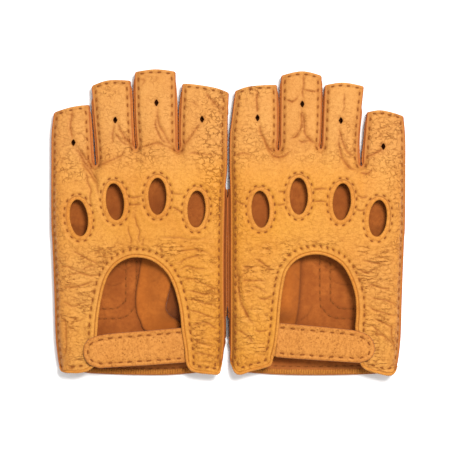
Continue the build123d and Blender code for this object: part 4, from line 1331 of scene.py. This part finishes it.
def thumb_pieces(g):
    """The thumb's tube, pressed flat under the palm, and its stitches."""
    base_u, tip_u, base_w, tip_w = THUMB[g.side]
    rings, around = 84, 72
    turn = np.linspace(0, 2 * np.pi, around, endpoint=False)
    c, s = np.cos(turn), np.sin(turn)
    flat_u = np.sign(c) * np.abs(c) ** 0.62
    flat_z = np.sign(s) * np.abs(s) ** 0.7
    t = np.linspace(0, 1, rings)[:, None]
    base_v, tip_v = 37.4 + 4.4 * flat_z, 116.3 + 0.9 * flat_u
    v = base_v + (tip_v - base_v) * t
    u = base_u + (tip_u - base_u) * t + (base_w + (tip_w - base_w) * t**0.9) * flat_u
    swell = 1 + 0.05 * noise(u, v, 12, g.seed + 31) + 0.02 * noise(u, v, 4, g.seed + 32)
    hem = bell(t * THUMB_LENGTH, THUMB_HEM, 0.5)
    z = 2.85 + (2.75 - 0.25 * t) * flat_z * swell - 0.18 * hem * flat_z
    z = np.where(flat_z < 0, np.maximum(z, 0.12 + 0.25 * hem), z)
    edge = bell(np.abs(flat_u), 1, 0.12) * np.ones_like(t)
    pebble = np.clip(0.3 + 0.5 * edge + 0.4 * noise(u, v, 15, g.seed + 33), 0, 1)
    points = np.column_stack([u.ravel(), v.ravel(), z.ravel()])
    drop, dark, _ = crease_field(points[:, :2], THUMB_CREASES, g.seed + 34)
    top = np.tile(flat_z, rings)
    points[:, 2] += np.where(top > 0.3, drop * 0.8, np.where(top < -0.3, -drop * 0.5, 0))
    points[:, 2] = np.maximum(points[:, 2], 0.1)
    # Painted shade in the hem and creases, and along the thumb's folded edges, which lie in shade under the
    # palm and between the gloves
    fold = np.maximum(np.repeat(0.5 * hem, around), dark * 0.8)
    away = np.tile(np.column_stack([c, np.zeros(around), s]), (rings, 1))
    faces = oriented(points, grid_faces(rings, around, True), away)
    facts = {"fold": fold, "shade": 0.6 * edge.ravel(), "pebble": pebble.ravel()}
    obj = shell(g, "thumb_leather", points, faces, 0.85, [PALM_TAN, SUEDE], facts=facts)
    finish(g, obj, "thumb_tube", THUMB_JOINT, "thumb")
    # Stitches: across the tip's hem, and along the seam on both faces beside the far edge
    grid = points.reshape(rings, around, 3)
    marks = [(grid[-5, k], grid[-5, (k + 2) % around], (c[k], 0, s[k])) for k in range(2, around, 5)]
    for r in range(4, rings - 6, 5):
        for column, way in ((5, 1.0), (around - 5, -1.0)):
            marks.append((grid[r, column], grid[r + 2, column], (0.3, 0, way)))
    parts = []
    for a, b, up in marks:
        up = np.array(up)
        t = np.array([[0], [0.14], [0.5], [0.86], [1.0]])
        path = a + (b - a) * t + up * np.array([[-0.3], [0.1], [0.2], [0.1], [-0.3]])
        path[:, 2] = np.maximum(path[:, 2], 0.25)
        parts.append(tube(path, 0.26, up, 6))
    finish(g, make_object(g, "thumb_stitches", *join(parts), [THREAD]), "thumb_tube", THUMB_JOINT)


def lobe_piece(g):
    """The thumb's gusset, lying inside the palm beside the raised thumb."""
    loop = smooth([*LOBES[g.side], LOBES[g.side][0]])[:-1][::-1]
    p, faces = triangulate([loop])
    gap = distance(p, loop, True)[0]
    drop, dark, _ = crease_field(p, LOBE_CREASES, g.seed + 51)
    z = palm_height(g, p) + 0.95 + 0.5 * ease(gap, 0, 9) - 0.35 * (1 - ease(gap, 0, 0.7))
    z += 0.25 * layered_noise(p[:, 0], p[:, 1], 14, g.seed + 50) + drop
    # Painted shade in the creases and along the gusset's edge
    facts = {"fold": 0.4 * dark, "shade": bell(gap, 0, 0.9)}
    materials = [LOBE_SUEDE, SUEDE]
    obj = shell(g, "thumb_gusset_suede", np.column_stack([p, z]), faces.tolist(), 0.8, materials, facts=facts)
    finish(g, obj, "glove", None, "thumb_gusset")


STRAPS = {  # the upper and the lower edge from the flap outward, and the rounded end between them
    "left": ([(28.1, 30.2), (42.6, 28.9), (57.4, 27.8), (72.3, 26.6), (79, 25.6)],
             [(79, 25.6), (84.8, 23.6), (88.0, 20), (88.8, 16.2), (88, 11.8), (85, 8.0), (79, 5.8)],
             [(79, 5.8), (64.9, 6.6), (49.9, 7.4), (35.1, 8.4), (26.6, 9.0)]),
    "right": ([(31.0, 33.1), (50.2, 31.4), (72.6, 29.3), (80, 28.2)],
              [(80, 28.2), (86.4, 25.2), (89.4, 20.5), (89.6, 15.6), (87.0, 11.4), (80.5, 9.0)],
              [(80.5, 9.0), (65.1, 9.9), (42.7, 11.3), (29.2, 12.3)]),
}
STRAP_EDGE_Z, STRAP_FLAP_Z = 12.1, 15.75  # the strap's upper face at the thumb-side flap and on the far flap
STRAP_ROOT_U, STRAP_SPAN = 28.0, 54.0  # where the strap leaves the thumb-side flap, and how far it climbs


def strap_height(g, p):
    """Height of the strap's upper face, which climbs from one flap onto the other and droops at its end."""
    lean = np.radians(4.3)
    from_root = p[:, 0] - STRAP_ROOT_U
    s = from_root * np.cos(lean) - (p[:, 1] - 20.6) * np.sin(lean)
    w = from_root * np.sin(lean) + (p[:, 1] - (19.7 if g.side == "left" else 22.7)) * np.cos(lean)
    t = np.clip(s / STRAP_SPAN, 0, 1)
    z = STRAP_EDGE_Z + (STRAP_FLAP_Z - STRAP_EDGE_Z) * t**1.1
    z = z - 0.35 * np.sin(np.pi * t) - 0.012 * np.clip(s - STRAP_SPAN, 0, 20) ** 2
    return z - 0.0035 * w**2 + 0.12 * noise(p[:, 0], p[:, 1], 16, g.seed + 80)


def strap_joint(g):
    """The strap's hinge, read from the frame in plan millimetres, and a point 8 mm along the strap from it."""
    hinge = next(j for j in frame["joints"] if j["name"] == f"{g.side}_strap_hinge")["pos_m"]
    hinge = np.array([abs(hinge[0]) / MM, hinge[1] / MM - WRIST_Y, hinge[2] / MM])
    lean = np.radians(4.2)
    return hinge, hinge + 8.0 * np.array([np.cos(lean), -np.sin(lean), 0.0])


def strap_pieces(g):
    upper, tip, lower = (smooth(points) for points in STRAPS[g.side])
    start = np.array([lower[-1], upper[0]])
    edge = np.vstack([upper[:-1], tip[:-1], lower])
    loop = np.vstack([edge[:-1], resample(start, 0.8)[:-1]])
    row = edge - outward(edge) * 2.6
    row = row[(distance(row, edge)[0] > 2.3) & (row[:, 0] > start[:, 0].max() - 1.0)]
    stitches = g.stitches([(row, 5.9, 2.8, 0.4)])
    p, faces = triangulate([loop])
    gap = distance(p, edge)[0]
    level = strap_height(g, p)
    z = level - 0.35 * bell(gap, 2.6, 0.9) - 0.35 * (1 - ease(gap, 0, 0.9)) + 0.15 * bell(gap, 1.2, 0.7)
    # Painted shade in the stitch grooves
    fold = 0.35 * bell(gap, 2.7, 0.5)
    for stitch in stitches:
        along, across = along_and_across(p[:, 0], p[:, 1], stitch)
        lengthwise = bell(along, 0, 0.6 * stitch[4])
        z -= stitch[5] * lengthwise * bell(across, 0, 0.8)
        fold = np.maximum(fold, 0.9 * lengthwise * bell(across, 0, 0.55))
    # Painted shade along the strap's rounded edge, on the strap and its lining
    shade = 0.5 * bell(gap, 0, 0.9)
    on_cut = distance(p, start)[0] < 1e-3
    joint = strap_joint(g)
    top = shell(g, "strap_leather", np.column_stack([p, z]), faces.tolist(), 1.0, [STRAP_TAN, SUEDE],
                facts={"fold": fold, "shade": shade}, flat=on_cut)
    finish(g, top, "wrist_strap", joint, "strap")
    low = np.column_stack([p, level - 1.98 + 0.3 * (1 - ease(gap, 0, 1.2))])
    lining = shell(g, "strap_lining_suede", low, faces[:, ::-1].tolist(), 0.85, [SUEDE],
                   facts={"shade": shade}, flat=on_cut)
    finish(g, lining, "wrist_strap", joint, "strap_lining")
    height = strap_height(g, stitches[:, :2]) - 0.55
    add_threads(g, "strap", "wrist_strap", stitches, height, joint, "strap_leather", radius=0.38)
    # The strap's fixed root, under the thumb-side flap
    (low_u, low_v), (high_u, high_v) = start
    root = [(high_u - 0.2, high_v - 0.6), (15.5, 30.8), (14.0, 21), (14.6, 11.2), (low_u - 0.1, low_v + 0.6)]
    loop = np.vstack([smooth(root)[:-1], resample(np.array([root[-1], root[0]]), 0.8)[:-1]])
    p, faces = triangulate([loop[::-1]])
    gap = distance(p, loop, True)[0]
    z = strap_height(g, p) - 0.25 - 0.3 * (1 - ease(gap, 0, 0.8)) - 0.004 * (STRAP_ROOT_U - p[:, 0])
    obj = shell(g, "strap_root_leather", np.column_stack([p, z]), faces.tolist(), 1.7, [STRAP_TAN, SUEDE])
    finish(g, obj, "glove", None, "strap_root")


TAPES = {"left": (84.9, 16.4), "right": (84.6, 18.6)}  # middle of each closure, under the strap's rounded end


def tape_pieces(g, stitches):
    """The two halves of the strap's hook-and-loop closure, under its rounded end."""
    u, v = TAPES[g.side]
    quarters = ((1, 1, 0), (-1, 1, 6), (-1, -1, 12), (1, -1, 18))
    loop = np.vstack([ellipse(u + 1.2 * a, v + 4.2 * b, 1.4, 1.4, 0, 24)[k : k + 7] for a, b, k in quarters])
    p, faces = triangulate([loop], rings=(0.3, 0.8))
    pile = ease(distance(p, loop, True)[0], -0.1, 0.6)
    z = back_height(g, p, stitches)[0] + 0.1 + 0.32 * pile + 0.08 * noise(p[:, 0], p[:, 1], 1.0, 5)
    loops = shell(g, "loop_tape", np.column_stack([p, z]), faces.tolist(), 0.3, [LOOP_TAPE])
    finish(g, loops, "glove", None, "loop_patch")
    z = strap_height(g, p) - 2.05 - 0.3 * pile - 0.06 * noise(p[:, 0], p[:, 1], 0.9, 6)
    hooks = shell(g, "hook_tape", np.column_stack([p, z]), faces[:, ::-1].tolist(), 0.3, [HOOK_TAPE])
    finish(g, hooks, "wrist_strap", None, "strap_hook_patch")


for side in SIDES:
    glove = Glove(side)
    marks = back_pieces(glove)
    rim_pieces(glove, marks)
    bead_piece(glove, marks)
    palm_pieces(glove)
    patch_piece(glove)
    fourchette_pieces(glove)
    thumb_pieces(glove)
    lobe_piece(glove)
    strap_pieces(glove)
    tape_pieces(glove, marks)

# ---------------------------------------------------------------- floor, light and camera

bpy.ops.mesh.primitive_plane_add(size=6, location=(0, 0, -0.0004))
floor = bpy.context.object
floor.name = "floor"
floor.data.materials.append(floor_material())

KEY_PLACE = Vector((0.32, 0.42, 1.22))
key_data = bpy.data.lights.new("key", "AREA")
key_data.shape = "SQUARE"
key_data.size = 0.36
key_data.energy = 20
key = bpy.data.objects.new("key", key_data)
key.location = KEY_PLACE
key.rotation_euler = (-KEY_PLACE).to_track_quat("-Z", "Y").to_euler()
bpy.context.scene.collection.objects.link(key)

world = bpy.data.worlds.new("studio")
world.use_nodes = True
world.node_tree.nodes["Background"].inputs["Color"].default_value = (1, 1, 1, 1)
world.node_tree.nodes["Background"].inputs["Strength"].default_value = 0.78
bpy.context.scene.world = world
bpy.context.scene.view_settings.view_transform = "Standard"

VIEW_WIDTH = 0.278  # width of the picture at the height of the gloves' backs
BACK_HEIGHT = 0.012
camera_data = bpy.data.cameras.new("camera")
camera_data.sensor_width = 36
camera_data.lens = 150
camera = bpy.data.objects.new("camera", camera_data)
bpy.context.scene.collection.objects.link(camera)
above = VIEW_WIDTH * camera_data.lens / camera_data.sensor_width
camera.location = (-0.00135, -0.0021, BACK_HEIGHT + above)
bpy.context.scene.camera = camera
